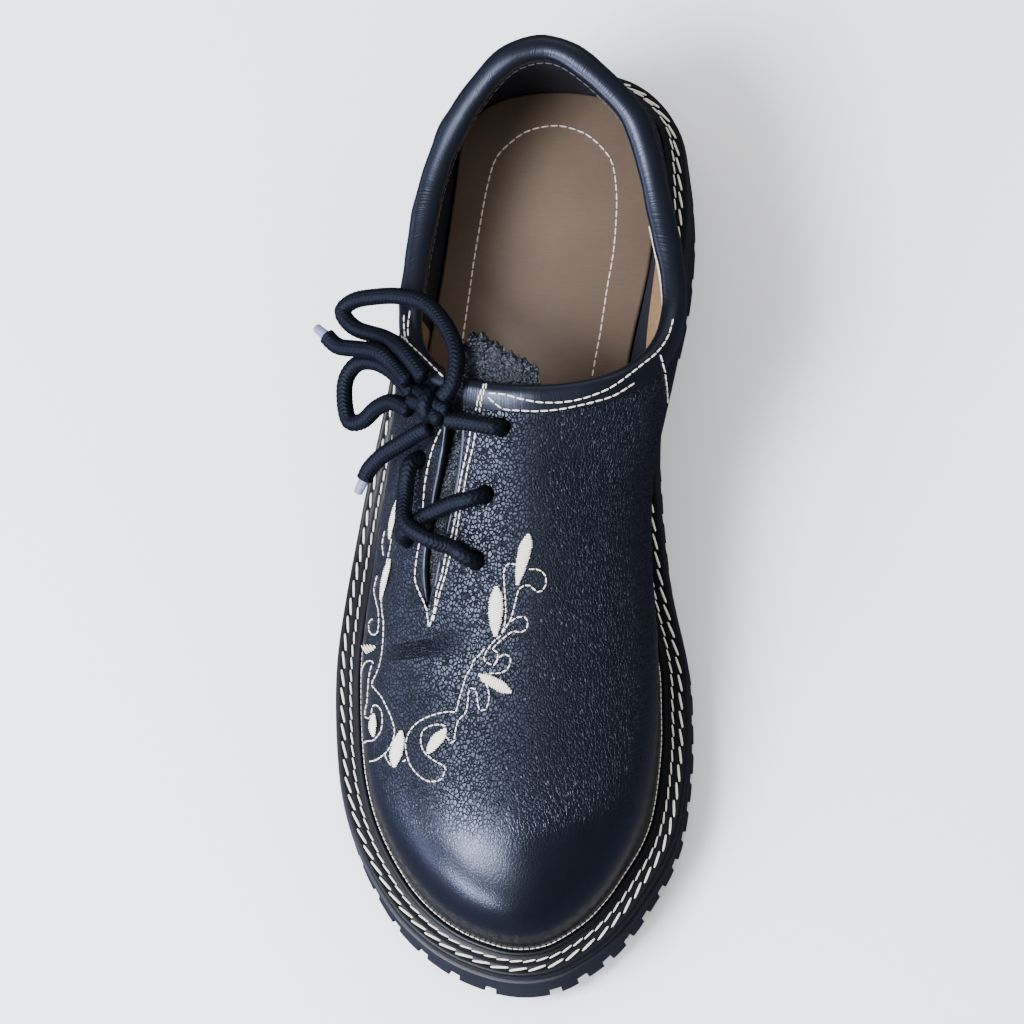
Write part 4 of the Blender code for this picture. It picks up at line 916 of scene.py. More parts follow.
crest_points = []
for station, side, heel_share, instep_share, slope, foot, padding in (
        [COLLAR_HEEL] + LATERAL_COLLAR + [COLLAR_FRONT] + MEDIAL_COLLAR[::-1]):
    height = COLLAR_DIP_HEIGHT + heel_share * (COLLAR_HEIGHT - COLLAR_DIP_HEIGHT)
    height += instep_share * (INSTEP_HEIGHT - COLLAR_DIP_HEIGHT)
    crest_points.append((side * HEEL_WIDTH + SOLE_SHIFT, SOLE_LENGTH * (0.5 - station), height,
                         radians(slope), padding))
CREST = [0.0]
for a, b in zip(crest_points, crest_points[1:] + crest_points[:1]):
    CREST.append(CREST[-1] + hypot(a[0] - b[0], a[1] - b[1], a[2] - b[2]))
CREST_LENGTH = CREST[-1]
CREST_FRONT = CREST[len(LATERAL_COLLAR) + 1]
CREST_KEYS = [d - CREST_LENGTH for d in CREST[-3:-1]] + CREST[:-1] + [d + CREST_LENGTH for d in CREST[:3]]
CREST_COLUMNS = [list(v) for v in zip(*(crest_points[-2:] + crest_points + crest_points[:3]))]


def foot_angle(distance, medial):
    """The angle of the sole under a place on the crest, with the front seen from either side."""
    lateral_feet = [0.0] + [row[5] for row in LATERAL_COLLAR] + [COLLAR_FRONT[5]]
    medial_feet = [360 - COLLAR_FRONT[5]] + [360 - row[5] for row in MEDIAL_COLLAR[::-1]] + [360.0]
    front = len(LATERAL_COLLAR) + 1
    if medial:
        keys = CREST[front:] + [CREST_LENGTH + CREST[1]]
        values = medial_feet + [360 + lateral_feet[1]]
    else:
        keys = [CREST[-2] - CREST_LENGTH] + CREST[:front + 1]
        values = [medial_feet[-2] - 360] + lateral_feet
    return radians(curve_through(keys, values, distance))


def crest(distance):
    """The collar at a distance round its crest: point, way down the wall, way out of it, half width."""
    x, y, z, slope, padding = [curve_through(CREST_KEYS, c, distance) for c in CREST_COLUMNS]
    ahead = [curve_through(CREST_KEYS, c, distance + 0.002) for c in CREST_COLUMNS[:2]]
    behind = [curve_through(CREST_KEYS, c, distance - 0.002) for c in CREST_COLUMNS[:2]]
    side = Vector((ahead[1] - behind[1], behind[0] - ahead[0], 0)).normalized()
    down = side * sin(slope) - Vector((0, 0, cos(slope)))
    out = side * cos(slope) + Vector((0, 0, sin(slope)))
    return Vector((x, y, z)), down, out, padding * COLLAR_ROLL / 2


def collar_foot(distance):
    point, down, out, half = crest(distance)
    return point + down * COLLAR_DEPTH + out * half, out


FRONT_POINT = collar_foot(CREST_FRONT)[0]


def ridge(share):
    """The ridge over the instep and vamp: the point and the normal of the leather there."""
    keys = [row[0] for row in RIDGE]

    def spot(at):
        start = station_of(FRONT_POINT.y)
        station = start + (RIDGE_END * SOLE_LENGTH - start) * at
        drop = curve_through(keys, [row[1] for row in RIDGE], at)
        side = curve_through(keys, [row[2] for row in RIDGE], at)
        height = FRONT_POINT.z + (TOE_BOX_HEIGHT - FRONT_POINT.z) * drop
        return Vector((FRONT_POINT.x + side * BALL_WIDTH, SOLE_LENGTH / 2 - station, height))

    along = spot(min(share + 0.01, 1.0)) - spot(max(share - 0.01, 0.0))
    normal = along.cross(Vector((1, 0, 0))).normalized()
    return spot(share), normal if normal.z > 0 else -normal


def wall_column(top, normal, angle):
    """One column of the upper's outer face, from the welt up to the top point."""
    table = MEDIAL_WALL if angle % (2 * pi) > pi else LATERAL_WALL
    turn = pi - abs(pi - angle % (2 * pi))
    keys = [radians(row[0]) for row in table]
    lean, foot_pull, top_pull = [curve_through(keys, [row[i] for row in table], turn) for i in (1, 2, 3)]
    lean = radians(lean)
    plan = inset_point(angle, reach(angle))
    foot = Vector((plan.x, plan.y, welt_top(station_of(plan.y)) + GAP))
    start = foot + Vector((0, 0, FOOT_RISE))
    rise = top.z - start.z
    run = (top - start) - normal * (top - start).dot(normal)
    leave = start + (Vector((0, 0, cos(lean))) + outward(angle).to_3d() * sin(lean)) * foot_pull * rise
    arrive = top - run * top_pull
    column = [foot]
    for j in range(WALL_ROWS + 1):
        v = j / WALL_ROWS
        w = 1 - v
        column.append(start * w ** 3 + leave * 3 * w * w * v + arrive * 3 * w * v * v + top * v ** 3)
    return column


def ridge_share(angle):
    first = cos(radians(COLLAR_FRONT[5]))
    reached = min((first - cos(angle)) / (first - 1 + 2 * RIDGE_FEET), 1.0)
    return (reached - reached ** 4 / 4) / 0.75


def crest_distances(columns):
    """Even steps round the crest, with one at the heel and one at the front."""
    back = CREST_LENGTH - CREST_FRONT
    out = [CREST_FRONT * k / columns for k in range(columns)]
    return out + [CREST_FRONT + back * k / columns for k in range(columns)]


distances = crest_distances(COLLAR_COLUMNS)
tops = [(*collar_foot(d), foot_angle(d, False)) for d in distances[:COLLAR_COLUMNS] + [CREST_FRONT]]
first = radians(COLLAR_FRONT[5])
angles = [first + (pi - first) * k / RIDGE_COLUMNS for k in range(1, RIDGE_COLUMNS + 1)]
tops += [(*ridge(ridge_share(a)), a) for a in angles]
tops += [(*ridge(ridge_share(a)), 2 * pi - a) for a in reversed(angles[:-1])]
tops += [(*collar_foot(d), foot_angle(d, True)) for d in distances[COLLAR_COLUMNS:]]
columns = [wall_column(*top) for top in tops]
rows = WALL_ROWS + 2
points = [p for column in columns for p in column]
faces = []
for c in range(len(columns)):
    after = (c + 1) % len(columns)
    for r in range(rows - 1):
        faces.append((c * rows + r, after * rows + r, after * rows + r + 1, c * rows + r + 1))
skin_mesh = closed_mesh("skin", points, faces, merge=0.00002)
shape = bmesh.new()
shape.from_mesh(skin_mesh)
fixed = {v for v in shape.verts if v.is_boundary}
second = {e.other_vert(v) for v in fixed for e in v.link_edges}
free = [v for v in shape.verts if v not in fixed and v not in second]
for k in range(4):
    bmesh.ops.smooth_vert(shape, verts=free, factor=0.5, use_axis_x=True, use_axis_y=True, use_axis_z=True)
bmesh.ops.recalc_face_normals(shape, faces=shape.faces)
outer = max(shape.faces, key=lambda face: face.calc_center_median().z)
if outer.normal.z < 0:
    bmesh.ops.reverse_faces(shape, faces=shape.faces)
shape.to_mesh(skin_mesh)
shape.free()


def leather_tree(mesh):
    """The upper's outer face, carried on past the crest, as something to drop points on."""
    points = [v.co.copy() for v in mesh.vertices]
    faces = [tuple(face.vertices) for face in mesh.polygons]
    first = len(points)
    for k, distance in enumerate(distances):
        point, down, out, half = crest(distance)
        near_front = COLLAR_COLUMNS / 2 < k < COLLAR_COLUMNS * 3 / 2
        foot = point + down * COLLAR_DEPTH + out * half
        points += [foot, foot - down * (COLLAR_DEPTH + (0.024 if near_front else 0.0))]
    for k in range(len(distances)):
        a = first + 2 * k
        b = first + 2 * ((k + 1) % len(distances))
        faces.append((a, b, b + 1, a + 1))
    return BVHTree.FromPolygons(points, faces)


last_tree = leather_tree(skin_mesh)


def on_leather(x, y, reach_out=0.003):
    """The leather under a spot seen from above, and its normal smoothed over the spots about it."""
    place = None
    normal = Vector()
    for dx, dy in ((1, 0), (-1, 0), (0, 1), (0, -1), (0, 0)):
        spot = Vector((x + dx * reach_out, y + dy * reach_out, 2 * INSTEP_HEIGHT))
        place, up, face, distance = last_tree.ray_cast(spot, Vector((0, 0, -1)))
        if up is not None:
            normal += up if up.z > 0 else -up
    return place, normal.normalized()


def seen_place(x, y, tree):
    """Where the leather lies behind a point that the camera sees at 60 mm height, given in mm."""
    aim = Vector((x / 1000, y / 1000, 0.060)) - camera_place
    place, normal, face, distance = tree.ray_cast(camera_place, aim.normalized())
    if place is None:
        return None, None
    return place, normal if normal.dot(aim) < 0 else -normal


# The finer skin, with its folds worked into it
blank = bpy.data.objects.new("skin", skin_mesh)
bpy.context.scene.collection.objects.link(blank)
divide = blank.modifiers.new("divide", "SUBSURF")
divide.levels = divide.render_levels = 2
fine_mesh = worked_mesh(blank)

# Folds: path as seen by the camera in mm, depth and half-width of the furrow in mm
FOLDS = [
    ([(-40.0, -52.5), (-34.5, -49.4), (-29.2, -48.0), (-24.0, -47.4), (-15.0, -46.4)], 2.6, 4.0),
    ([(-37.5, -39.5), (-33.0, -41.0), (-28.5, -41.4), (-25.0, -42.2)], 0.8, 1.6),
    ([(-21.5, -37.0), (-16.0, -36.2), (-11.0, -37.4), (-6.0, -40.6)], 0.55, 1.6),
    ([(-36.0, -61.5), (-31.0, -59.8), (-26.0, -59.6), (-20.0, -60.8)], 0.6, 2.0),
    ([(-20.0, -44.0), (-14.0, -43.2), (-8.0, -44.6)], 0.4, 1.6),
    ([(-8.0, -51.5), (-3.0, -50.2), (3.5, -50.9)], 0.4, 1.8),
    ([(10.0, -50.0), (20.0, -48.0), (29.0, -48.6), (37.0, -51.0)], 0.7, 2.8),
    ([(12.0, -60.0), (21.0, -57.8), (30.0, -57.8), (37.0, -60.0)], 0.5, 2.6),
    ([(14.0, -41.0), (22.0, -39.6), (31.0, -40.4)], 0.35, 2.4),
]
places = np.array([v.co[:] for v in fine_mesh.vertices])
normals = np.array([v.normal[:] for v in fine_mesh.vertices])
moved = np.zeros(len(places))
for path, depth, width in FOLDS:
    drawn = [seen_place(x, y, last_tree)[0] for x, y in path]
    drawn = smooth_route([p for p in drawn if p is not None], 0.0012)
    line = np.array([p[:] for p in drawn])
    gaps = np.sqrt(((places[:, None, :] - line[None, :, :]) ** 2).sum(axis=2))
    nearest = gaps.min(axis=1) * 1000
    along = gaps.argmin(axis=1) / (len(line) - 1)
    fade = np.sin(np.clip(along, 0.02, 0.98) * pi) ** 0.5
    furrow = -depth * np.exp(-(nearest / width) ** 2)
    swell = 0.65 * depth * np.exp(-((nearest - 2.1 * width) / width) ** 2)
    moved += (furrow + swell) * fade
# Slack of the worn-in leather: slow waves of a few tenths of a millimetre
station = SOLE_LENGTH / 2 - places[:, 1]
slack = np.sin(places[:, 0] * 150 + 2.0 * np.sin(station * 60)) * np.cos(station * 110 + 1.0)
moved += 0.12 * slack * np.clip((station - 0.13) / 0.02, 0, 1) * np.clip((0.235 - station) / 0.03, 0, 1)
places = places + normals * (moved / 1000)[:, None]
fine_mesh.vertices.foreach_set("co", places.ravel())
fine_mesh.update()

# Slit and lace holes: station, side and width of the slit, then the holes of vamp and quarter
SLIT_WIDTH = 0.0075
SLIT = [(0.637, -0.264, 0.10), (0.620, -0.261, 0.40), (0.594, -0.256, 0.72), (0.563, -0.241, 0.92),
        (0.526, -0.220, 1.00), (0.487, -0.201, 0.92), (0.455, -0.195, 0.85), (0.424, -0.195, 0.85),
        (0.385, -0.191, 0.85)]
EYELET_DIAMETER = 0.0062
VAMP_HOLES = [(0.469, -0.062), (0.531, -0.106), (0.594, -0.130)]
QUARTER_HOLES = [(0.437, -0.267), (0.488, -0.294), (0.563, -0.325)]


def spot_of(station, side):
    return side * BALL_WIDTH + SOLE_SHIFT, SOLE_LENGTH * (0.5 - station)


def slit_edge(sign, fine_steps=6):
    """The plan of one edge of the slit, smoothed, from its foot past the collar."""
    rows = [(*spot_of(station, side), width * SLIT_WIDTH / 2) for station, side, width in SLIT]
    keys = list(range(len(rows)))
    plan = []
    for k in range((len(rows) - 1) * fine_steps + 1):
        x, y, half = [curve_through(keys, [row[i] for row in rows], k / fine_steps) for i in range(3)]
        plan.append(Vector((x + sign * half, y)))
    return plan


def round_punch(name, start, end, diameter, sides):
    along = end - start
    shape = bmesh.new()
    bmesh.ops.create_cone(shape, cap_ends=True, segments=sides, radius1=diameter / 2,
                          radius2=diameter / 2, depth=along.length)
    bmesh.ops.rotate(shape, verts=shape.verts, matrix=along.to_track_quat("Z", "Y").to_matrix())
    bmesh.ops.translate(shape, verts=shape.verts, vec=(start + end) / 2)
    mesh = bpy.data.meshes.new(name)
    shape.to_mesh(mesh)
    shape.free()
    return mesh


def slit_blade():
    plan = slit_edge(-1) + slit_edge(1)[::-1]
    return prism("slit_blade", [tuple(p) for p in plan], 0.055, 0.125)


def black_leather(name, cell, grain, polish, pale="#0a0d13", dark="#05060a"):
    """Chrome-tanned cowhide, dyed through and finished with a soft gloss: pebbles with fine furrows, which are
    painted darker as painted shade.
    """
    material, tree, shader, place = new_material(name)
    # The pebbles are about 1.2 times cell millimetres wide, and pulled out of round by a slow noise
    wander = add_node(tree, "ShaderNodeTexNoise", {}, {"Vector": place, "Scale": 300.0, "Detail": 1.0})
    turned = add_node(tree, "ShaderNodeMapping", {}, {"Vector": place, "Rotation": (0.0, 0.0, 0.5),
                                                      "Scale": (1.0, 0.78, 0.9)})
    drift = add_node(tree, "ShaderNodeVectorMath", {"operation": "MULTIPLY_ADD"},
                     {0: wander.outputs["Color"], 1: (0.0011, 0.0011, 0.0011), 2: turned.outputs["Vector"]})
    pebble = add_node(tree, "ShaderNodeTexVoronoi", {"feature": "DISTANCE_TO_EDGE"},
                      {"Vector": drift.outputs["Vector"], "Scale": 1000.0 / cell})
    # Some furrows are hardly there, others run on for several pebbles
    faint = add_node(tree, "ShaderNodeTexNoise", {}, {"Vector": place, "Scale": 420.0, "Detail": 2.0})
    filled = add_node(tree, "ShaderNodeMapRange", {}, {"Value": faint.outputs["Fac"], "From Min": 0.42,
                                                       "From Max": 0.70, "To Min": 0.0, "To Max": 0.06})
    uneven = add_node(tree, "ShaderNodeMath", {"operation": "ADD"},
                      {0: pebble.outputs["Distance"], 1: filled.outputs["Result"]})
    dome = add_node(tree, "ShaderNodeMapRange", {"interpolation_type": "SMOOTHSTEP"},
                    {"Value": uneven.outputs["Value"], "From Min": 0.0, "From Max": 0.20})
    # Over the toe and along the welt the pebbles are ironed flat
    apart = add_node(tree, "ShaderNodeSeparateXYZ", {}, {"Vector": place})
    toe = add_node(tree, "ShaderNodeMapRange", {"interpolation_type": "SMOOTHSTEP"},
                   {"Value": apart.outputs["Y"], "From Min": -0.118, "From Max": -0.075,
                    "To Min": 0.04, "To Max": 1.0})
    foot = add_node(tree, "ShaderNodeMapRange", {"interpolation_type": "SMOOTHSTEP"},
                    {"Value": apart.outputs["Z"], "From Min": 0.040, "From Max": 0.056,
                     "To Min": 0.05, "To Max": 1.0})
    left = add_node(tree, "ShaderNodeMath", {"operation": "MULTIPLY"},
                    {0: toe.outputs["Result"], 1: foot.outputs["Result"]})
    deep = add_node(tree, "ShaderNodeMath", {"operation": "MULTIPLY"},
                    {0: dome.outputs["Result"], 1: left.outputs["Value"]})
    slow = add_node(tree, "ShaderNodeTexNoise", {}, {"Vector": place, "Scale": 90.0, "Detail": 3.0})
    shade = add_node(tree, "ShaderNodeMix", {"data_type": "RGBA"},
                     {"Factor": slow.outputs["Fac"], "A": colour(dark), "B": colour(pale)})
    # How deep in a furrow, from 1 on the flat to 0 at the bottom
    bare = add_node(tree, "ShaderNodeMath", {"operation": "SUBTRACT"}, {0: 1.0, 1: left.outputs["Value"]})
    furrow = add_node(tree, "ShaderNodeMath", {"operation": "ADD", "use_clamp": True},
                      {0: deep.outputs["Value"], 1: bare.outputs["Value"]})
    # The colour is multiplied down in the furrows: painted shade in the hollows of the grain
    furrow_painted_shade = add_node(tree, "ShaderNodeMix", {"data_type": "RGBA", "blend_type": "MULTIPLY"},
                    {"Factor": 0.5, "A": shade.outputs["Result"], "B": furrow.outputs["Value"]})
    even_gloss = add_node(tree, "ShaderNodeMapRange", {}, {"Value": left.outputs["Value"],
                                                           "To Min": polish - 0.11, "To Max": polish})
    gloss = add_node(tree, "ShaderNodeMix", {"data_type": "FLOAT"},
                     {"Factor": furrow.outputs["Value"], "A": 0.66, "B": even_gloss.outputs["Result"]})
    bump = add_node(tree, "ShaderNodeBump", {}, {"Height": deep.outputs["Value"], "Strength": grain,
                                                 "Distance": 0.0005})
    ripple = add_node(tree, "ShaderNodeBump", {}, {"Height": slow.outputs["Fac"], "Strength": 0.12,
                                                   "Distance": 0.001, "Normal": bump.outputs["Normal"]})
    tree.links.new(furrow_painted_shade.outputs["Result"], shader.inputs["Base Color"])
    tree.links.new(gloss.outputs["Result"], shader.inputs["Roughness"])
    tree.links.new(ripple.outputs["Normal"], shader.inputs["Normal"])
    shader.inputs["IOR"].default_value = 1.5
    shader.inputs["Specular IOR Level"].default_value = 0.5
    shader.inputs["Specular Tint"].default_value = colour("#dbe5ff")
    return material


def lining_leather(name):
    """Lining: smooth black pigskin round the heel and raw tan suede from the arch forward."""
    material, tree, shader, place = new_material(name)
    apart = add_node(tree, "ShaderNodeSeparateXYZ", {}, {"Vector": place})
    # The suede reaches 33 mm further back at the inner side, above a black band along the footbed
    inner_side = add_node(tree, "ShaderNodeMath", {"operation": "GREATER_THAN"},
                          {0: apart.outputs["X"], 1: 0.010})
    seam = add_node(tree, "ShaderNodeMath", {"operation": "MULTIPLY_ADD"},
                    {0: inner_side.outputs["Value"], 1: 0.033, 2: 0.060})
    behind = add_node(tree, "ShaderNodeMath", {"operation": "GREATER_THAN"},
                      {0: apart.outputs["Y"], 1: seam.outputs["Value"]})
    band_top = add_node(tree, "ShaderNodeMath", {"operation": "MULTIPLY"},
                        {0: inner_side.outputs["Value"], 1: 0.047})
    band = add_node(tree, "ShaderNodeMath", {"operation": "LESS_THAN"},
                    {0: apart.outputs["Z"], 1: band_top.outputs["Value"]})
    where = add_node(tree, "ShaderNodeMath", {"operation": "MAXIMUM"},
                     {0: behind.outputs["Value"], 1: band.outputs["Value"]})
    nap = add_node(tree, "ShaderNodeTexNoise", {}, {"Vector": place, "Scale": 900.0, "Detail": 3.0})
    suede = add_node(tree, "ShaderNodeMix", {"data_type": "RGBA"},
                     {"Factor": nap.outputs["Fac"], "A": colour("#6f543d"), "B": colour("#a5845f")})
    shade = add_node(tree, "ShaderNodeMix", {"data_type": "RGBA"},
                     {"Factor": where.outputs["Value"], "A": suede.outputs["Result"],
                      "B": colour("#161b28")})
    bump = add_node(tree, "ShaderNodeBump", {}, {"Height": nap.outputs["Fac"], "Strength": 0.3,
                                                 "Distance": 0.0003})
    surface(tree, shader, shade, bump, 0.62, 1.48)
    return material


upper_leather = black_leather("pebbled_cowhide", 1.05, 0.85, 0.40)
lining = lining_leather("suede_and_pigskin_lining")
shell = bpy.data.objects.new("upper_shell", fine_mesh)
bpy.context.scene.collection.objects.link(shell)
fine_mesh.materials.clear()
fine_mesh.materials.append(upper_leather)
fine_mesh.materials.append(lining)
wall = shell.modifiers.new("wall", "SOLIDIFY")
wall.thickness = UPPER_WALL
wall.offset = -1.0
wall.material_offset = 1
wall.material_offset_rim = 0
walled = worked_mesh(shell)
punches = [slit_blade()]
for k, (station, side) in enumerate(VAMP_HOLES + QUARTER_HOLES):
    place, normal = on_leather(*spot_of(station, side))
    punches.append(round_punch("hole_" + str(k), place - normal * 0.004, place + normal * 0.004,
                               EYELET_DIAMETER, 24))
upper_mesh = cut_with(walled, punches, "upper_leather")
upper = placed("upper_leather", upper_mesh, upper_leather)
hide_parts("upper")


# The collar
# A foam-filled roll of soft black glove leather round the opening, thin and flat over the instep,
# sewn to the upper outside and to the lining inside, with fine wrinkles across it.

glove_leather, tree, shader, place = new_material("glove_leather")
# Wrinkles across the roll, a millimetre or so apart and several long
centred = add_node(tree, "ShaderNodeMapping", {}, {"Vector": place, "Location": (0.0, -1.35, 0.0),
                                                   "Scale": (24.0, 15.4, 0.0)})
apart = add_node(tree, "ShaderNodeSeparateXYZ", {}, {"Vector": centred.outputs["Vector"]})
round_about = add_node(tree, "ShaderNodeMath", {"operation": "ARCTAN2"},
                       {0: apart.outputs["X"], 1: apart.outputs["Y"]})
wrinkles = add_node(tree, "ShaderNodeTexNoise", {"noise_dimensions": "1D"},
                    {"W": round_about.outputs["Value"], "Scale": 75.0, "Detail": 2.0})
pores = add_node(tree, "ShaderNodeTexVoronoi", {"feature": "DISTANCE_TO_EDGE"},
                 {"Vector": place, "Scale": 1400.0})
both = add_node(tree, "ShaderNodeMath", {"operation": "MULTIPLY_ADD"},
                {0: pores.outputs["Distance"], 1: 0.25, 2: wrinkles.outputs["Fac"]})
slow = add_node(tree, "ShaderNodeTexNoise", {}, {"Vector": place, "Scale": 70.0})
shade = add_node(tree, "ShaderNodeMix", {"data_type": "RGBA"},
                 {"Factor": slow.outputs["Fac"], "A": colour("#05060a"), "B": colour("#0e1118")})
bump = add_node(tree, "ShaderNodeBump", {}, {"Height": both.outputs["Value"], "Strength": 0.22,
                                             "Distance": 0.0004})
surface(tree, shader, shade, bump, 0.36)
shader.inputs["Specular IOR Level"].default_value = 0.5
shader.inputs["Specular Tint"].default_value = colour("#dbe5ff")

ROLL_SECTION = [(1.0, 1.0), (0.8, 1.10), (0.6, 1.15), (0.42, 1.13), (0.25, 1.05), (0.13, 0.84), (0.06, 0.60),
                (0.015, 0.30), (0.0, 0.0), (0.015, -0.32), (0.06, -0.60), (0.13, -0.84), (0.25, -1.0),
                (0.42, -1.06), (0.6, -1.05), (0.76, -0.98), (0.86, -0.90), (0.92, -0.90), (1.0, -0.85)]
ROLL_BULGE = 0.0006
COLLAR_GAP = 0.0004
points = []
ring = crest_distances(90)
for distance in ring:
    point, down, out, half = crest(distance)
    # The padding lies a little unevenly
    fullness = 1 + 0.035 * sin(distance * 210) + 0.02 * sin(distance * 470 + 1.3)
    for depth, swell in ROLL_SECTION:
        bulge = ROLL_BULGE if swell > 0 else 0.0
        soft = fullness if abs(swell) > 0.5 and depth < 0.8 else 1.0
        points.append(point + down * depth * (COLLAR_DEPTH - COLLAR_GAP) + out * (half + bulge) * swell * soft)
rows = len(ROLL_SECTION)
faces = []
for k in range(len(ring)):
    for i in range(rows):
        a, b = k * rows + i, k * rows + (i + 1) % rows
        c, d = (k + 1) % len(ring) * rows + (i + 1) % rows, (k + 1) % len(ring) * rows + i
        faces.append((a, d, c, b))
roll_mesh = cut_with(closed_mesh("roll", points, faces), [slit_blade()], "collar_roll")
collar = placed("collar_roll", roll_mesh, glove_leather)
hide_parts("collar")


# The tongue
# One piece of coarse-grained split leather under the slit, with two long folds where the laces press
# it and a pinked free end that stands up behind the instep.

TONGUE_WALL = 0.0018
TONGUE_DEPTH = 0.0026
COLLAR_BACKING = 0.0032
# Station, outer and inner edge, skew of the row, and how far it has sunk behind the collar
TONGUE = [(0.668, -0.315, -0.200, 0.000, 0.0), (0.630, -0.345, -0.130, 0.000, 0.0),
          (0.585, -0.360, -0.075, 0.000, 0.0), (0.540, -0.350, -0.050, 0.000, 0.0),
          (0.505, -0.330, -0.020, 0.004, 0.3), (0.475, -0.305, 0.005, 0.010, 0.8),
          (0.448, -0.265, 0.030, 0.016, 1.0), (0.425, -0.230, 0.045, 0.024, 1.0),
          (0.409, -0.188, 0.042, 0.027, 1.0), (0.397, -0.145, 0.038, 0.028, 1.0)]
across_count, along_count = 48, 90
keys = list(range(len(TONGUE)))
points = []
for r in range(along_count + 1):
    at = (len(TONGUE) - 1) * r / along_count
    station, outer_side, inner_side, skew, sunk = [
        curve_through(keys, [row[i] for row in TONGUE], at) for i in range(5)]
    for k in range(across_count + 1):
        share = k / across_count
        # The free end is cut with pinking shears, with teeth about 3 mm wide
        tooth = 0.0016 * abs((k / 6) % 1 - 0.5) * 2 * smooth_step(r / along_count, 0.96, 1.0)
        side = (outer_side + (inner_side - outer_side) * share) * BALL_WIDTH + SOLE_SHIFT
        y = SOLE_LENGTH / 2 - (station + skew * (share - 0.5)) * SOLE_LENGTH - tooth
        place, normal = on_leather(side, y)
        fold = 0.0011 * (0.5 - 0.5 * cos(6 * pi * share)) * (1 - smooth_step(r / along_count, 0.55, 0.75))
        points.append(place - normal * (TONGUE_DEPTH + max(sunk, 0) * COLLAR_BACKING + fold))
width = across_count + 1
faces = []
for r in range(along_count):
    for c in range(across_count):
        faces.append((r * width + c, r * width + c + 1, (r + 1) * width + c + 1, (r + 1) * width + c))
sheet = bpy.data.meshes.new("tongue_sheet")
sheet.from_pydata(points, [], faces)
shape = bmesh.new()
shape.from_mesh(sheet)
shape.normal_update()
if sum(face.normal.z for face in shape.faces) < 0:
    bmesh.ops.reverse_faces(shape, faces=shape.faces)
shape.to_mesh(sheet)
shape.free()
blank = bpy.data.objects.new("tongue_blank", sheet)
bpy.context.scene.collection.objects.link(blank)
wall = blank.modifiers.new("wall", "SOLIDIFY")
wall.thickness = TONGUE_WALL
wall.offset = -1.0
tongue_mesh = worked_mesh(blank)
tongue_mesh.shade_smooth()
tongue_mesh.set_sharp_from_angle(angle=radians(50))
split_leather, tree, shader, place = new_material("coarse_split_leather")
# Coarse pebbles about 1.1 mm wide under a wash of dye
pebble = add_node(tree, "ShaderNodeTexVoronoi", {"feature": "F1"}, {"Vector": place, "Scale": 900.0})
nap = add_node(tree, "ShaderNodeTexNoise", {}, {"Vector": place, "Scale": 1500.0, "Detail": 3.0})
rough = add_node(tree, "ShaderNodeMath", {"operation": "MULTIPLY_ADD"},
                 {0: pebble.outputs["Distance"], 1: -1.0, 2: nap.outputs["Fac"]})
shade = add_node(tree, "ShaderNodeMix", {"data_type": "RGBA"},
                 {"Factor": nap.outputs["Fac"], "A": colour("#06070a"), "B": colour("#1b1f28")})
bump = add_node(tree, "ShaderNodeBump", {}, {"Height": rough.outputs["Value"], "Strength": 1.0,
                                             "Distance": 0.0006})
surface(tree, shader, shade, bump, 0.32)
tongue = placed("tongue_sheet", tongue_mesh, split_leather)
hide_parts("tongue")


# Turned edges of the slit
# The leather of quarter and vamp is skived, folded under and glued along the slit, which leaves a
# rounded edge on both sides.

def plain_tube(points, radius, sides=12):
    ways = turned_along(points)
    rings = []
    for place, (along, side, up) in zip(points, ways):
        for i in range(sides):
            turn = 2 * pi * i / sides
            rings.append(place + (side * cos(turn) + up * sin(turn)) * radius)
    faces = tube_faces(len(points), sides)
    faces += [tuple(range(sides)), tuple(range((len(points) - 1) * sides, len(points) * sides))]
    return rings, faces


def turned_edge(name, sign, start, end):
    plan = slit_edge(sign)
    route = []
    for p in plan[start:end]:
        place, normal = on_leather(p.x, p.y)
        route.append(place - normal * 0.00105)
    rings, faces = plain_tube(smooth_route(route, 0.0008), 0.00108)
    return placed(name, closed_mesh(name, rings, faces), glove_leather)


turned_edge("quarter_turned_edge", -1, 2, 38)
turned_edge("vamp_turned_edge", 1, 2, 38)


# Raw edge of the lining
# The suede lining is sewn in under the collar at the inner side, and its cut edge shows pale there.

raw_edge, tree, shader, place = new_material("raw_leather_edge")
fibres = add_node(tree, "ShaderNodeTexNoise", {}, {"Vector": place, "Scale": 1500.0})
shade = add_node(tree, "ShaderNodeMix", {"data_type": "RGBA"},
                 {"Factor": fibres.outputs["Fac"], "A": colour("#a98f6f"), "B": colour("#efe2cc")})
surface(tree, shader, shade, None, 0.7, 1.48)
# Where it starts and how far it runs, as shares of the crest's inner side, and its radius
RAW_EDGE_START = 0.33
RAW_EDGE_RUN = 0.24
RAW_EDGE_RADIUS = 0.0005
medial_length = CREST_LENGTH - CREST_FRONT
route = []
for k in range(60):
    point, down, out, half = crest(CREST_FRONT + medial_length * (RAW_EDGE_START + RAW_EDGE_RUN * k / 59))
    route.append(point + down * COLLAR_DEPTH * 0.62 - out * half * 1.10)
rings, faces = plain_tube(route, RAW_EDGE_RADIUS, 8)
placed("lining_raw_edge", closed_mesh("lining_raw_edge", rings, faces), raw_edge)


# The lacing
# The same braid goes from hole to hole over the slit: two runs that cross, and one that goes from
# the top hole to the knot.

LACE_DIP = 0.0016
LOWER_RUN = [(0.538, -0.190, 0.62), (0.547, -0.258, 0.60)]
UPPER_RUN = [(0.579, -0.186, 0.75), (0.568, -0.238, 1.35), (0.550, -0.284, 1.45), (0.522, -0.302, 0.90)]
BAR_RUN = [(0.465, -0.115, 0.72), (0.461, -0.157, 0.90), (0.458, -0.186, 1.05)]


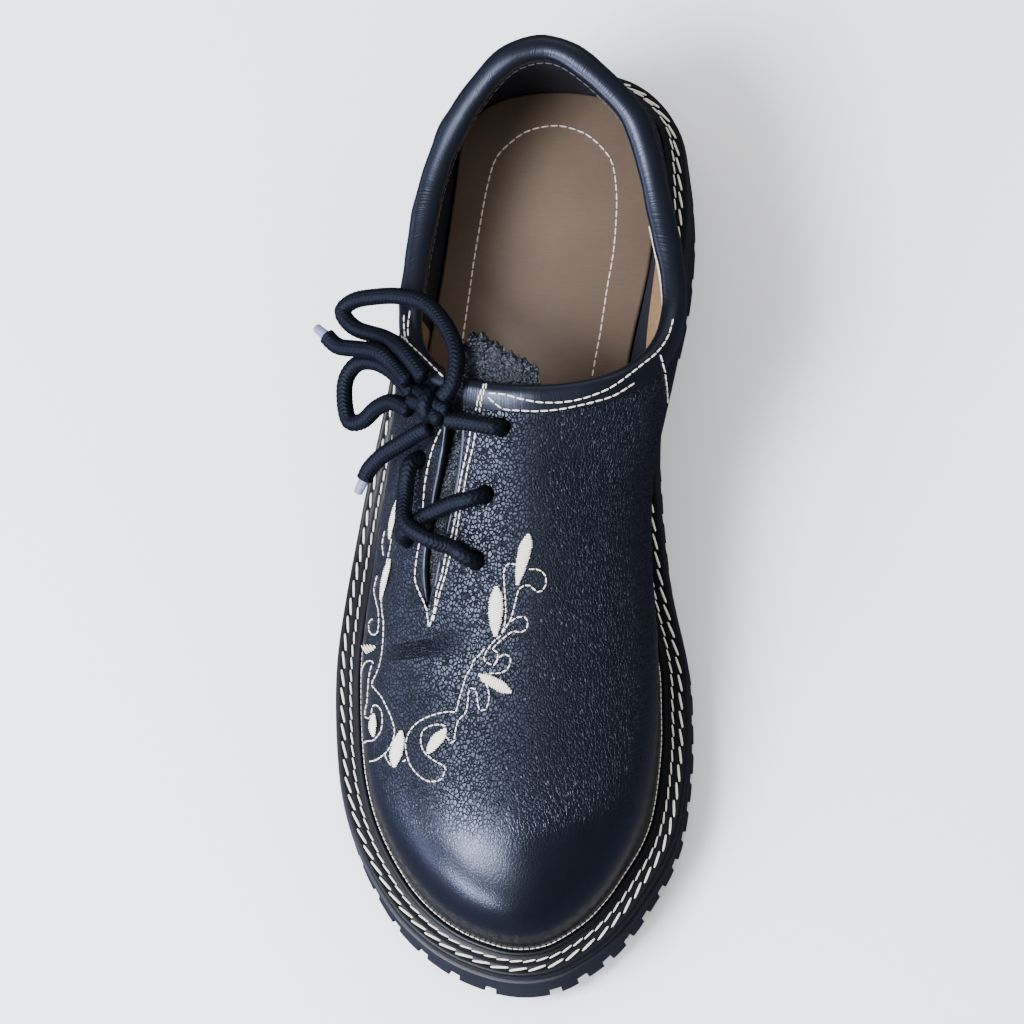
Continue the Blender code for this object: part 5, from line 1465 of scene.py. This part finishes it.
def hole_exit(hole, towards):
    """Points of a lace that comes up out of a hole and turns towards a spot."""
    place, normal = on_leather(*spot_of(*hole))
    turn = towards - place
    turn = (turn - normal * turn.dot(normal)).normalized()
    return [place - normal * LACE_DIP, place + normal * LACE * 0.15,
            place + normal * LACE * 0.62 + turn * LACE * 0.30,
            place + normal * LACE * 0.80 + turn * LACE * 0.95]


def over_leather(rows):
    points = []
    for station, side, height in rows:
        place, normal = on_leather(*spot_of(station, side))
        points.append(place + normal * height * LACE)
    return points


lower, upper_run, bar = over_leather(LOWER_RUN), over_leather(UPPER_RUN), over_leather(BAR_RUN)
under = hole_exit(VAMP_HOLES[1], lower[0]) + lower + hole_exit(QUARTER_HOLES[2], lower[-1])[::-1]
over = hole_exit(VAMP_HOLES[2], upper_run[0]) + upper_run + hole_exit(QUARTER_HOLES[1], upper_run[-1])[::-1]
shape = bmesh.new()
for name, route in (("under_run", under), ("over_run", over)):
    mesh, line = braided_tube(name, route)
    shape.from_mesh(mesh)
crossing_mesh = bpy.data.meshes.new("lace_crossing_braid")
shape.to_mesh(crossing_mesh)
shape.free()
crossing_mesh.shade_smooth()
crossing = placed("lace_crossing_braid", crossing_mesh, braid)
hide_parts("lace_crossing")
mesh, line = braided_tube("lace_bar_braid", hole_exit(VAMP_HOLES[0], bar[0])[:3] + bar)
bar_piece = placed("lace_bar_braid", mesh, braid)
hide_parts("lace_bar")


# Stitches
# Off-white waxed thread, sewn through the leather, so that each stitch is a plump short length that
# dips at both ends. All are laid out as points with a direction, and the thread is set on them.

waxed_thread, tree, shader, place = new_material("waxed_linen_thread")
# Ply of the thread, about 0.3 mm
ply = add_node(tree, "ShaderNodeTexNoise", {}, {"Vector": place, "Scale": 3200.0})
shade = add_node(tree, "ShaderNodeMix", {"data_type": "RGBA"},
                 {"Factor": ply.outputs["Fac"], "A": colour("#c4b8a4"), "B": colour("#fffaf0")})
relief = add_node(tree, "ShaderNodeBump", {}, {"Height": ply.outputs["Fac"], "Strength": 0.5,
                                               "Distance": 0.0002})
surface(tree, shader, shade, relief, 0.6)
shader.inputs["Sheen Weight"].default_value = 0.15

stitch_tree = bpy.data.node_groups.new("thread_on_points", "GeometryNodeTree")
for label, kind in (("Geometry", "NodeSocketGeometry"), ("Stitch Length", "NodeSocketFloat"),
                    ("Thread Thickness", "NodeSocketFloat"), ("Thread", "NodeSocketMaterial")):
    stitch_tree.interface.new_socket(name=label, in_out="INPUT", socket_type=kind)
stitch_tree.interface.new_socket(name="Geometry", in_out="OUTPUT", socket_type="NodeSocketGeometry")
given = add_node(stitch_tree, "NodeGroupInput", {}, {})
bead = add_node(stitch_tree, "GeometryNodeMeshUVSphere", {}, {"Segments": 7, "Rings": 7, "Radius": 0.5})
# The round bead is filled out towards its ends, so that it stretches into a plump rod
bead_place = add_node(stitch_tree, "GeometryNodeInputPosition", {}, {})
bead_part = add_node(stitch_tree, "ShaderNodeSeparateXYZ", {}, {"Vector": bead_place.outputs["Position"]})
doubled = add_node(stitch_tree, "ShaderNodeMath", {"operation": "MULTIPLY"},
                   {0: bead_part.outputs["Z"], 1: 1.96})
squared = add_node(stitch_tree, "ShaderNodeMath", {"operation": "POWER"},
                   {0: doubled.outputs["Value"], 1: 2.0})
left_over = add_node(stitch_tree, "ShaderNodeMath", {"operation": "SUBTRACT"},
                     {0: 1.0, 1: squared.outputs["Value"]})
fuller = add_node(stitch_tree, "ShaderNodeMath", {"operation": "POWER"},
                  {0: left_over.outputs["Value"], 1: -0.28})
filled = add_node(stitch_tree, "ShaderNodeCombineXYZ", {},
                  {"X": fuller.outputs["Value"], "Y": fuller.outputs["Value"], "Z": 1.0})
swollen = add_node(stitch_tree, "ShaderNodeVectorMath", {"operation": "MULTIPLY"},
                   {0: bead_place.outputs["Position"], 1: filled.outputs["Vector"]})
seed_shape = add_node(stitch_tree, "GeometryNodeSetPosition", {},
                      {"Geometry": bead.outputs["Mesh"], "Position": swollen.outputs["Vector"]})
way = add_node(stitch_tree, "GeometryNodeInputNamedAttribute", {"data_type": "FLOAT_VECTOR"},
               {"Name": "way"})
face_up = add_node(stitch_tree, "GeometryNodeInputNamedAttribute", {"data_type": "FLOAT_VECTOR"},
                   {"Name": "face_up"})
stretch = add_node(stitch_tree, "GeometryNodeInputNamedAttribute", {"data_type": "FLOAT"},
                   {"Name": "stretch"})
turning = add_node(stitch_tree, "FunctionNodeAxesToRotation", {"primary_axis": "Z", "secondary_axis": "X"},
                   {"Primary Axis": way.outputs["Attribute"], "Secondary Axis": face_up.outputs["Attribute"]})
stretched = add_node(stitch_tree, "ShaderNodeMath", {"operation": "MULTIPLY"},
                     {0: stretch.outputs["Attribute"], 1: given.outputs["Stitch Length"]})
flat = add_node(stitch_tree, "ShaderNodeMath", {"operation": "MULTIPLY"},
                {0: given.outputs["Thread Thickness"], 1: 0.85})
size = add_node(stitch_tree, "ShaderNodeCombineXYZ", {},
                {"X": flat.outputs["Value"], "Y": given.outputs["Thread Thickness"],
                 "Z": stretched.outputs["Value"]})
set_on = add_node(stitch_tree, "GeometryNodeInstanceOnPoints", {},
                  {"Points": given.outputs["Geometry"], "Instance": seed_shape.outputs["Geometry"],
                   "Rotation": turning.outputs["Rotation"], "Scale": size.outputs["Vector"]})
real = add_node(stitch_tree, "GeometryNodeRealizeInstances", {}, {"Geometry": set_on.outputs["Instances"]})
dyed = add_node(stitch_tree, "GeometryNodeSetMaterial", {},
                {"Geometry": real.outputs["Geometry"], "Material": given.outputs["Thread"]})
add_node(stitch_tree, "NodeGroupOutput", {}, {"Geometry": dyed.outputs["Geometry"]})


def sew(name, spots, length, thickness, thread=waxed_thread):
    """Set thread on spots, which are (place, way along the stitch, way up, share of the length)."""
    mesh = bpy.data.meshes.new(name)
    mesh.from_pydata([spot[0] for spot in spots], [], [])
    for label, kind, i in (("way", "FLOAT_VECTOR", 1), ("face_up", "FLOAT_VECTOR", 2)):
        held = mesh.attributes.new(label, kind, "POINT")
        for k, spot in enumerate(spots):
            held.data[k].vector = spot[i]
    held = mesh.attributes.new("stretch", "FLOAT", "POINT")
    for k, spot in enumerate(spots):
        held.data[k].value = spot[3]
    blank = bpy.data.objects.new(name + "_points", mesh)
    bpy.context.scene.collection.objects.link(blank)
    modifier = blank.modifiers.new("thread", "NODES")
    modifier.node_group = stitch_tree
    ids = {item.name: item.identifier for item in stitch_tree.interface.items_tree
           if item.in_out == "INPUT"}
    modifier[ids["Stitch Length"]] = length
    modifier[ids["Thread Thickness"]] = thickness
    modifier[ids["Thread"]] = thread
    sewn = worked_mesh(blank)
    sewn.name = name
    sewn.shade_smooth()
    return placed(name, sewn, thread)


def row_of(line, normals, pitch, slant=0.0, lift=0.0, fill=0.86):
    """Spots of even stitches along a line of points with their normals."""
    length = route_length(line)
    count = max(1, round(length / pitch))
    spots = []
    walked, k = 0.0, 0
    for i in range(count):
        target = length * (i + 0.5) / count
        while k < len(line) - 2 and walked + (line[k + 1] - line[k]).length < target:
            walked += (line[k + 1] - line[k]).length
            k += 1
        piece = max((line[k + 1] - line[k]).length, 1e-9)
        place = line[k] + (line[k + 1] - line[k]) * ((target - walked) / piece)
        along = (line[min(k + 2, len(line) - 1)] - line[max(k - 1, 0)]).normalized()
        up = normals[k].normalized()
        along = (along - up * along.dot(up)).normalized()
        side = up.cross(along)
        turned_way = along * cos(slant) + side * sin(slant)
        spots.append((place + up * lift, turned_way, up, length / count / pitch * fill))
    return spots


# The two rows of the welt, and the fine row that catches the upper's foot
for name, inset, pitch, thickness, slant in (
        ("welt_outer_stitches", outer_row, 0.0060, 0.00080, radians(10)),
        ("welt_inner_stitches", inner_row, 0.0042, 0.00060, radians(7))):
    line = []
    for angle in round_angles(720) + [2 * pi]:
        spot = inset_point(angle, inset(angle))
        line.append(Vector((spot.x, spot.y, welt_top(station_of(spot.y)))))
    sew(name, row_of(line, [Vector((0, 0, 1))] * len(line), pitch, slant, 0.0001, 0.98), pitch, thickness)
line = []
normals = []
for angle in round_angles(720):
    if radians(95) < angle < radians(255):
        spot = inset_point(angle, reach(angle) - 0.0001)
        line.append(Vector((spot.x, spot.y, welt_top(station_of(spot.y)) + 0.0022)))
        normals.append((outward(angle).to_3d() + Vector((0, 0, 0.4))).normalized())
sew("feather_stitches", row_of(line, normals, 0.0018), 0.0018, 0.00035)

# Rows on the upper and the collar, drawn as the camera sees them, in mm
dressed = BVHTree.FromPolygons(
    [v.co.copy() for v in upper.data.vertices] + [v.co.copy() for v in collar.data.vertices],
    [tuple(f.vertices) for f in upper.data.polygons]
    + [tuple(i + len(upper.data.vertices) for i in f.vertices) for f in collar.data.polygons])


def seen_row(path, tree=None, lift=0.0):
    """A path seen by the camera, laid on the leather: its points and their normals."""
    flat_path = smooth_route([Vector((x, y, 0)) for x, y in path], 0.5)
    line, normals = [], []
    for p in flat_path:
        place, normal = seen_place(p.x, p.y, tree or dressed)
        if place is not None:
            line.append(place)
            normals.append(normal)
    return line, normals


SLIT_ROWS = [
    [(-22.2, 20.4), (-24.2, 15.3), (-25.6, 9.4), (-26.6, 2.6), (-26.9, -3.3), (-27.0, -9.5),
     (-27.4, -16.0), (-28.3, -22.7), (-28.5, -29.5), (-26.7, -34.5), (-24.8, -38.6), (-23.5, -45.1)],
    [(-12.8, 20.5), (-13.6, 13.7), (-15.1, 5.3), (-15.9, -0.7), (-16.4, -7.4), (-17.4, -14.3),
     (-19.0, -20.9), (-20.1, -27.7), (-21.5, -33.5), (-22.1, -39.4), (-23.4, -45.1)],
    [(-11.2, 19.3), (-12.0, 13.8), (-13.2, 7.8), (-13.9, 2.7), (-14.6, -3.2), (-15.3, -8.3),
     (-16.3, -15.9), (-17.7, -21.8), (-19.0, -28.1), (-20.4, -33.5), (-21.5, -38.6), (-22.3, -43.2)],
]
spots = []
for path in SLIT_ROWS:
    spots += row_of(*seen_row(path), 0.0026, lift=0.0001)
sew("slit_stitches", spots, 0.0026, 0.00055)
FRONT_ROWS = [
    [(-7.8, 32.4), (-2.5, 32.0), (3.3, 30.5), (9.8, 29.5), (17.1, 29.8), (23.5, 31.3), (29.9, 34.0),
     (34.7, 37.2), (41.0, 42.5), (45.8, 46.9), (48.9, 52.0), (50.5, 58.0)],
    [(-7.8, 31.2), (-5.0, 28.7), (-2.3, 27.1), (3.0, 26.7), (8.3, 26.6), (14.7, 27.2), (21.2, 28.6),
     (26.0, 29.9), (32.4, 32.1), (38.8, 36.4)],
    [(-35.6, 58.5), (-35.4, 54.0), (-34.6, 50.2), (-32.6, 47.8), (-29.9, 45.2), (-25.6, 41.0),
     (-22.2, 37.6)],
    [(-33.8, 60.0), (-34.2, 55.0), (-34.0, 51.0)],
    [(46.6, 46.0), (48.0, 40.9), (49.0, 35.0), (49.4, 29.7)],
]
spots = []
for path in FRONT_ROWS:
    spots += row_of(*seen_row(path), 0.0030, lift=0.0001)
sew("collar_front_stitches", spots, 0.0030, 0.00055)

# Rows that go round the collar: one on the upper below it and one inside at the lining
below, inside = ([], []), ([], [])
for distance in crest_distances(160) + [CREST_LENGTH]:
    point, down, out, half = crest(distance)
    if not 0.80 * CREST_FRONT < distance < CREST_FRONT + 0.48 * (CREST_LENGTH - CREST_FRONT):
        foot = point + down * (COLLAR_DEPTH + 0.0018) + out * (half + 0.004)
        place, normal, face, gap = dressed.ray_cast(foot, -out)
        if place is not None:
            below[0].append(place)
            below[1].append(out)
    inside[0].append(point + down * COLLAR_DEPTH * 0.80 - out * (half * 1.0 + 0.0004))
    inside[1].append(-out)
front_gap = [k for k, (a, b) in enumerate(zip(below[0], below[0][1:])) if (b - a).length > 0.02]
cut_at = front_gap[0] + 1 if front_gap else len(below[0])
spots = row_of(below[0][:cut_at], below[1][:cut_at], 0.0030)
if cut_at < len(below[0]) - 2:
    spots += row_of(below[0][cut_at:], below[1][cut_at:], 0.0030)
sew("collar_outer_stitches", spots, 0.0030, 0.0005)
grey_thread, tree, shader, place = new_material("dark_grey_thread")
ply = add_node(tree, "ShaderNodeTexNoise", {}, {"Vector": place, "Scale": 3200.0})
shade = add_node(tree, "ShaderNodeMix", {"data_type": "RGBA"},
                 {"Factor": ply.outputs["Fac"], "A": colour("#25272d"), "B": colour("#51555f")})
surface(tree, shader, shade, None, 0.6)
sew("collar_inner_stitches", row_of(inside[0], inside[1], 0.0028), 0.0028, 0.00045, grey_thread)

# Bar tacks at the top of the slit
spots = []
for path in ([(-8.2, 35.5), (-9.6, 31.0), (-10.2, 26.5)], [(-9.0, 35.4), (-10.6, 31.0), (-11.4, 26.8)],
             [(-35.9, 51.5), (-35.4, 46.8)], [(-35.2, 51.3), (-34.6, 47.0)]):
    spots += row_of(*seen_row(path), 0.0020, radians(14), 0.0002, 1.0)
sew("bar_tacks", spots, 0.0020, 0.00055)

# The footbed's row, an oval open towards the toe, with its turns in millimetres
FOOTBED_ROW = [(-17.6, 41.0), (-16.3, 53.1), (-15.1, 65.1), (-13.9, 77.2), (-12.4, 89.4), (-10.7, 101.5),
               (-8.2, 111.6), (-3.1, 117.7), (2.5, 121.5), (9.9, 123.1), (15.7, 122.3), (21.5, 119.7),
               (26.6, 114.9), (29.6, 109.7), (31.1, 100.1), (31.2, 89.7), (30.6, 79.4), (29.2, 69.0),
               (28.3, 61.2), (27.3, 52.7), (26.0, 44.1), (24.8, 35.0)]
footbed = BVHTree.FromPolygons([v.co.copy() for v in insole.data.vertices],
                               [tuple(f.vertices) for f in insole.data.polygons])
line = [seen_place(p.x, p.y, footbed)[0]
        for p in smooth_route([Vector((x, y, 0)) for x, y in FOOTBED_ROW], 1.0)]
line = [p for p in line if p is not None]
sew("footbed_stitches", row_of(line, [Vector((0, 0, 1))] * len(line), 0.0030, 0.0, 0.0001), 0.0030, 0.00055)


# The embroidery
# A vine in off-white silk on the vamp and the outer side: its outline in running stitch, and its
# leaves in satin stitch, thread beside thread across each leaf over a low pad.

VINE = [
    [(3.6, -24.4), (0.7, -24.2), (-0.5, -26.6), (-0.3, -30.8), (0.2, -35.8), (0.5, -40.4), (0.2, -44.5),
     (-0.6, -46.8)],
    [(7.1, -25.8), (9.7, -25.8), (11.7, -26.8), (12.8, -29.1), (12.3, -31.8), (10.7, -33.1), (9.1, -32.3),
     (7.8, -31.2), (5.8, -31.3), (4.3, -32.8), (3.6, -35.6), (2.9, -39.1), (2.1, -42.3), (0.7, -44.9),
     (-0.6, -47.0)],
    [(2.0, -43.1), (4.3, -41.6), (6.6, -41.7), (7.5, -43.3), (7.0, -45.4), (5.2, -46.4), (3.1, -46.2),
     (1.3, -47.4), (-0.5, -49.0), (-2.3, -50.8), (-3.3, -52.3)],
    [(-0.6, -47.5), (-2.6, -49.2), (-4.2, -51.3), (-5.5, -53.8), (-5.6, -55.6), (-4.3, -56.8),
     (-2.3, -56.8), (-1.6, -55.4), (-1.8, -53.1), (-3.3, -52.5)],
    [(-2.3, -56.8), (-1.0, -54.8), (0.6, -53.8), (2.2, -54.6), (2.5, -56.4), (1.4, -58.7), (-0.8, -59.8),
     (-3.6, -60.0), (-6.2, -60.7)],
    [(-5.6, -51.7), (-7.3, -54.0), (-9.0, -55.9), (-9.8, -58.4), (-11.2, -60.9), (-12.0, -64.2),
     (-12.9, -67.7), (-13.6, -71.3), (-14.1, -72.7)],
    [(-6.7, -61.7), (-4.7, -63.8), (-3.8, -66.8), (-4.0, -69.9), (-5.0, -71.8), (-6.6, -71.6),
     (-7.3, -69.0), (-7.8, -66.3), (-9.0, -64.9), (-10.2, -66.4), (-10.3, -69.4), (-10.9, -72.7),
     (-12.7, -75.0), (-13.6, -77.2), (-14.0, -80.2), (-14.4, -82.3), (-15.8, -81.8), (-16.8, -80.4)],
    [(-14.1, -72.7), (-17.1, -72.7), (-20.3, -73.5), (-23.5, -74.8), (-26.2, -76.6), (-28.1, -79.0),
     (-29.1, -81.9), (-29.2, -84.8), (-27.9, -89.3), (-25.6, -92.6), (-22.7, -94.8), (-20.3, -95.2),
     (-17.9, -94.5), (-16.9, -92.5), (-16.8, -90.4), (-18.9, -89.2), (-21.4, -87.6), (-23.7, -85.2),
     (-24.6, -81.9), (-24.0, -79.0), (-21.8, -77.3), (-19.0, -76.8), (-16.9, -77.4)],
    [(-28.9, -88.3), (-30.1, -89.0)],
    [(-33.4, -90.3), (-34.8, -88.7), (-35.7, -86.6)],
    [(-36.5, -16.1), (-37.0, -20.3), (-37.8, -24.7), (-38.4, -28.6), (-38.7, -32.3), (-38.9, -36.1),
     (-38.5, -40.1), (-37.9, -43.8), (-37.8, -48.0), (-37.9, -52.1), (-38.3, -56.3), (-39.3, -60.2),
     (-40.7, -63.7), (-40.1, -65.1), (-37.7, -67.9), (-36.0, -70.9), (-34.2, -74.7), (-33.0, -78.6),
     (-33.3, -82.1), (-34.7, -85.3), (-36.6, -87.3), (-38.5, -88.6), (-40.4, -89.1)],
    [(-38.7, -13.6), (-39.3, -17.8), (-38.8, -22.0)],
    [(-40.5, -28.4), (-41.3, -33.0), (-40.5, -37.0), (-39.7, -40.1), (-39.4, -43.8), (-39.7, -47.0),
     (-41.1, -47.9), (-42.3, -46.5), (-42.4, -44.0), (-41.4, -42.7)],
    [(-44.3, -61.0), (-43.8, -58.5), (-42.5, -56.6), (-40.7, -56.8), (-41.3, -59.0), (-41.8, -62.3),
     (-41.9, -65.7), (-42.0, -69.8), (-42.5, -73.0), (-42.0, -75.0), (-40.7, -74.6), (-40.2, -71.6),
     (-39.1, -70.8), (-37.4, -72.7), (-36.9, -76.2), (-37.3, -79.2), (-38.5, -81.2), (-39.7, -82.3),
     (-41.4, -82.5), (-42.5, -83.1)],
]
spots = []
for path in VINE:
    spots += row_of(*seen_row(path), 0.0021, lift=0.00012, fill=0.86)
sew("vine_running_stitches", spots, 0.0021, 0.00048)

# Leaves: both ends as the camera sees them, in mm, width in mm, and how far along they are widest
LEAVES = [((6.7, -14.1), (3.8, -31.0), 4.3, 0.30), ((-2.8, -31.5), (-2.4, -47.9), 4.9, 0.40),
          ((3.3, -66.0), (-7.3, -60.4), 3.9, 0.40), ((-16.9, -78.0), (-22.1, -86.3), 4.0, 0.45),
          ((-30.8, -79.0), (-32.4, -90.8), 4.3, 0.50), ((-34.9, -2.8), (-37.0, -16.5), 1.6, 0.55),
          ((-36.5, -23.0), (-38.9, -36.5), 1.9, 0.40), ((-45.4, -53.7), (-39.9, -51.7), 3.0, 0.45),
          ((-39.6, -73.6), (-39.3, -81.0), 2.4, 0.50)]
spots = []
for (x0, y0), (x1, y1), width, fullest in LEAVES:
    length = hypot(x1 - x0, y1 - y0)
    count = ceil(length / 0.74)
    side_way = Vector(((y1 - y0) / length, -(x1 - x0) / length))
    for k in range(count):
        t = (k + 0.5) / count
        bent = t / (2 * fullest) if t < fullest else 0.5 + (t - fullest) / (2 * (1 - fullest))
        half = width / 2 * max(sin(pi * bent), 0.12) ** 0.6
        # The thread leans along the leaf, and is drawn twice as thick as silk so that it shows
        x, y = x0 + (x1 - x0) * t, y0 + (y1 - y0) * t
        lean = 0.30 * half
        half *= 1 + 0.05 * sin(k * 2.4) + 0.04 * sin(k * 5.3)
        ends = []
        for sign in (-1, 1):
            ends.append(seen_place(x + side_way.x * half * sign + (x1 - x0) / length * lean * sign,
                                   y + side_way.y * half * sign + (y1 - y0) / length * lean * sign, dressed))
        if ends[0][0] is None or ends[1][0] is None:
            continue
        (a, up_a), (b, up_b) = ends
        up = (up_a + up_b).normalized()
        middle = (a + b) / 2
        under_it, normal = seen_place(x, y, dressed)
        lift = 0.0003 + 0.0004 * sin(pi * min(max(bent, 0), 1))
        spots.append((under_it + up * lift, (b - a).normalized(), up, (b - a).length / 0.004))
sew("leaf_satin_stitches", spots, 0.0040, 0.00074)
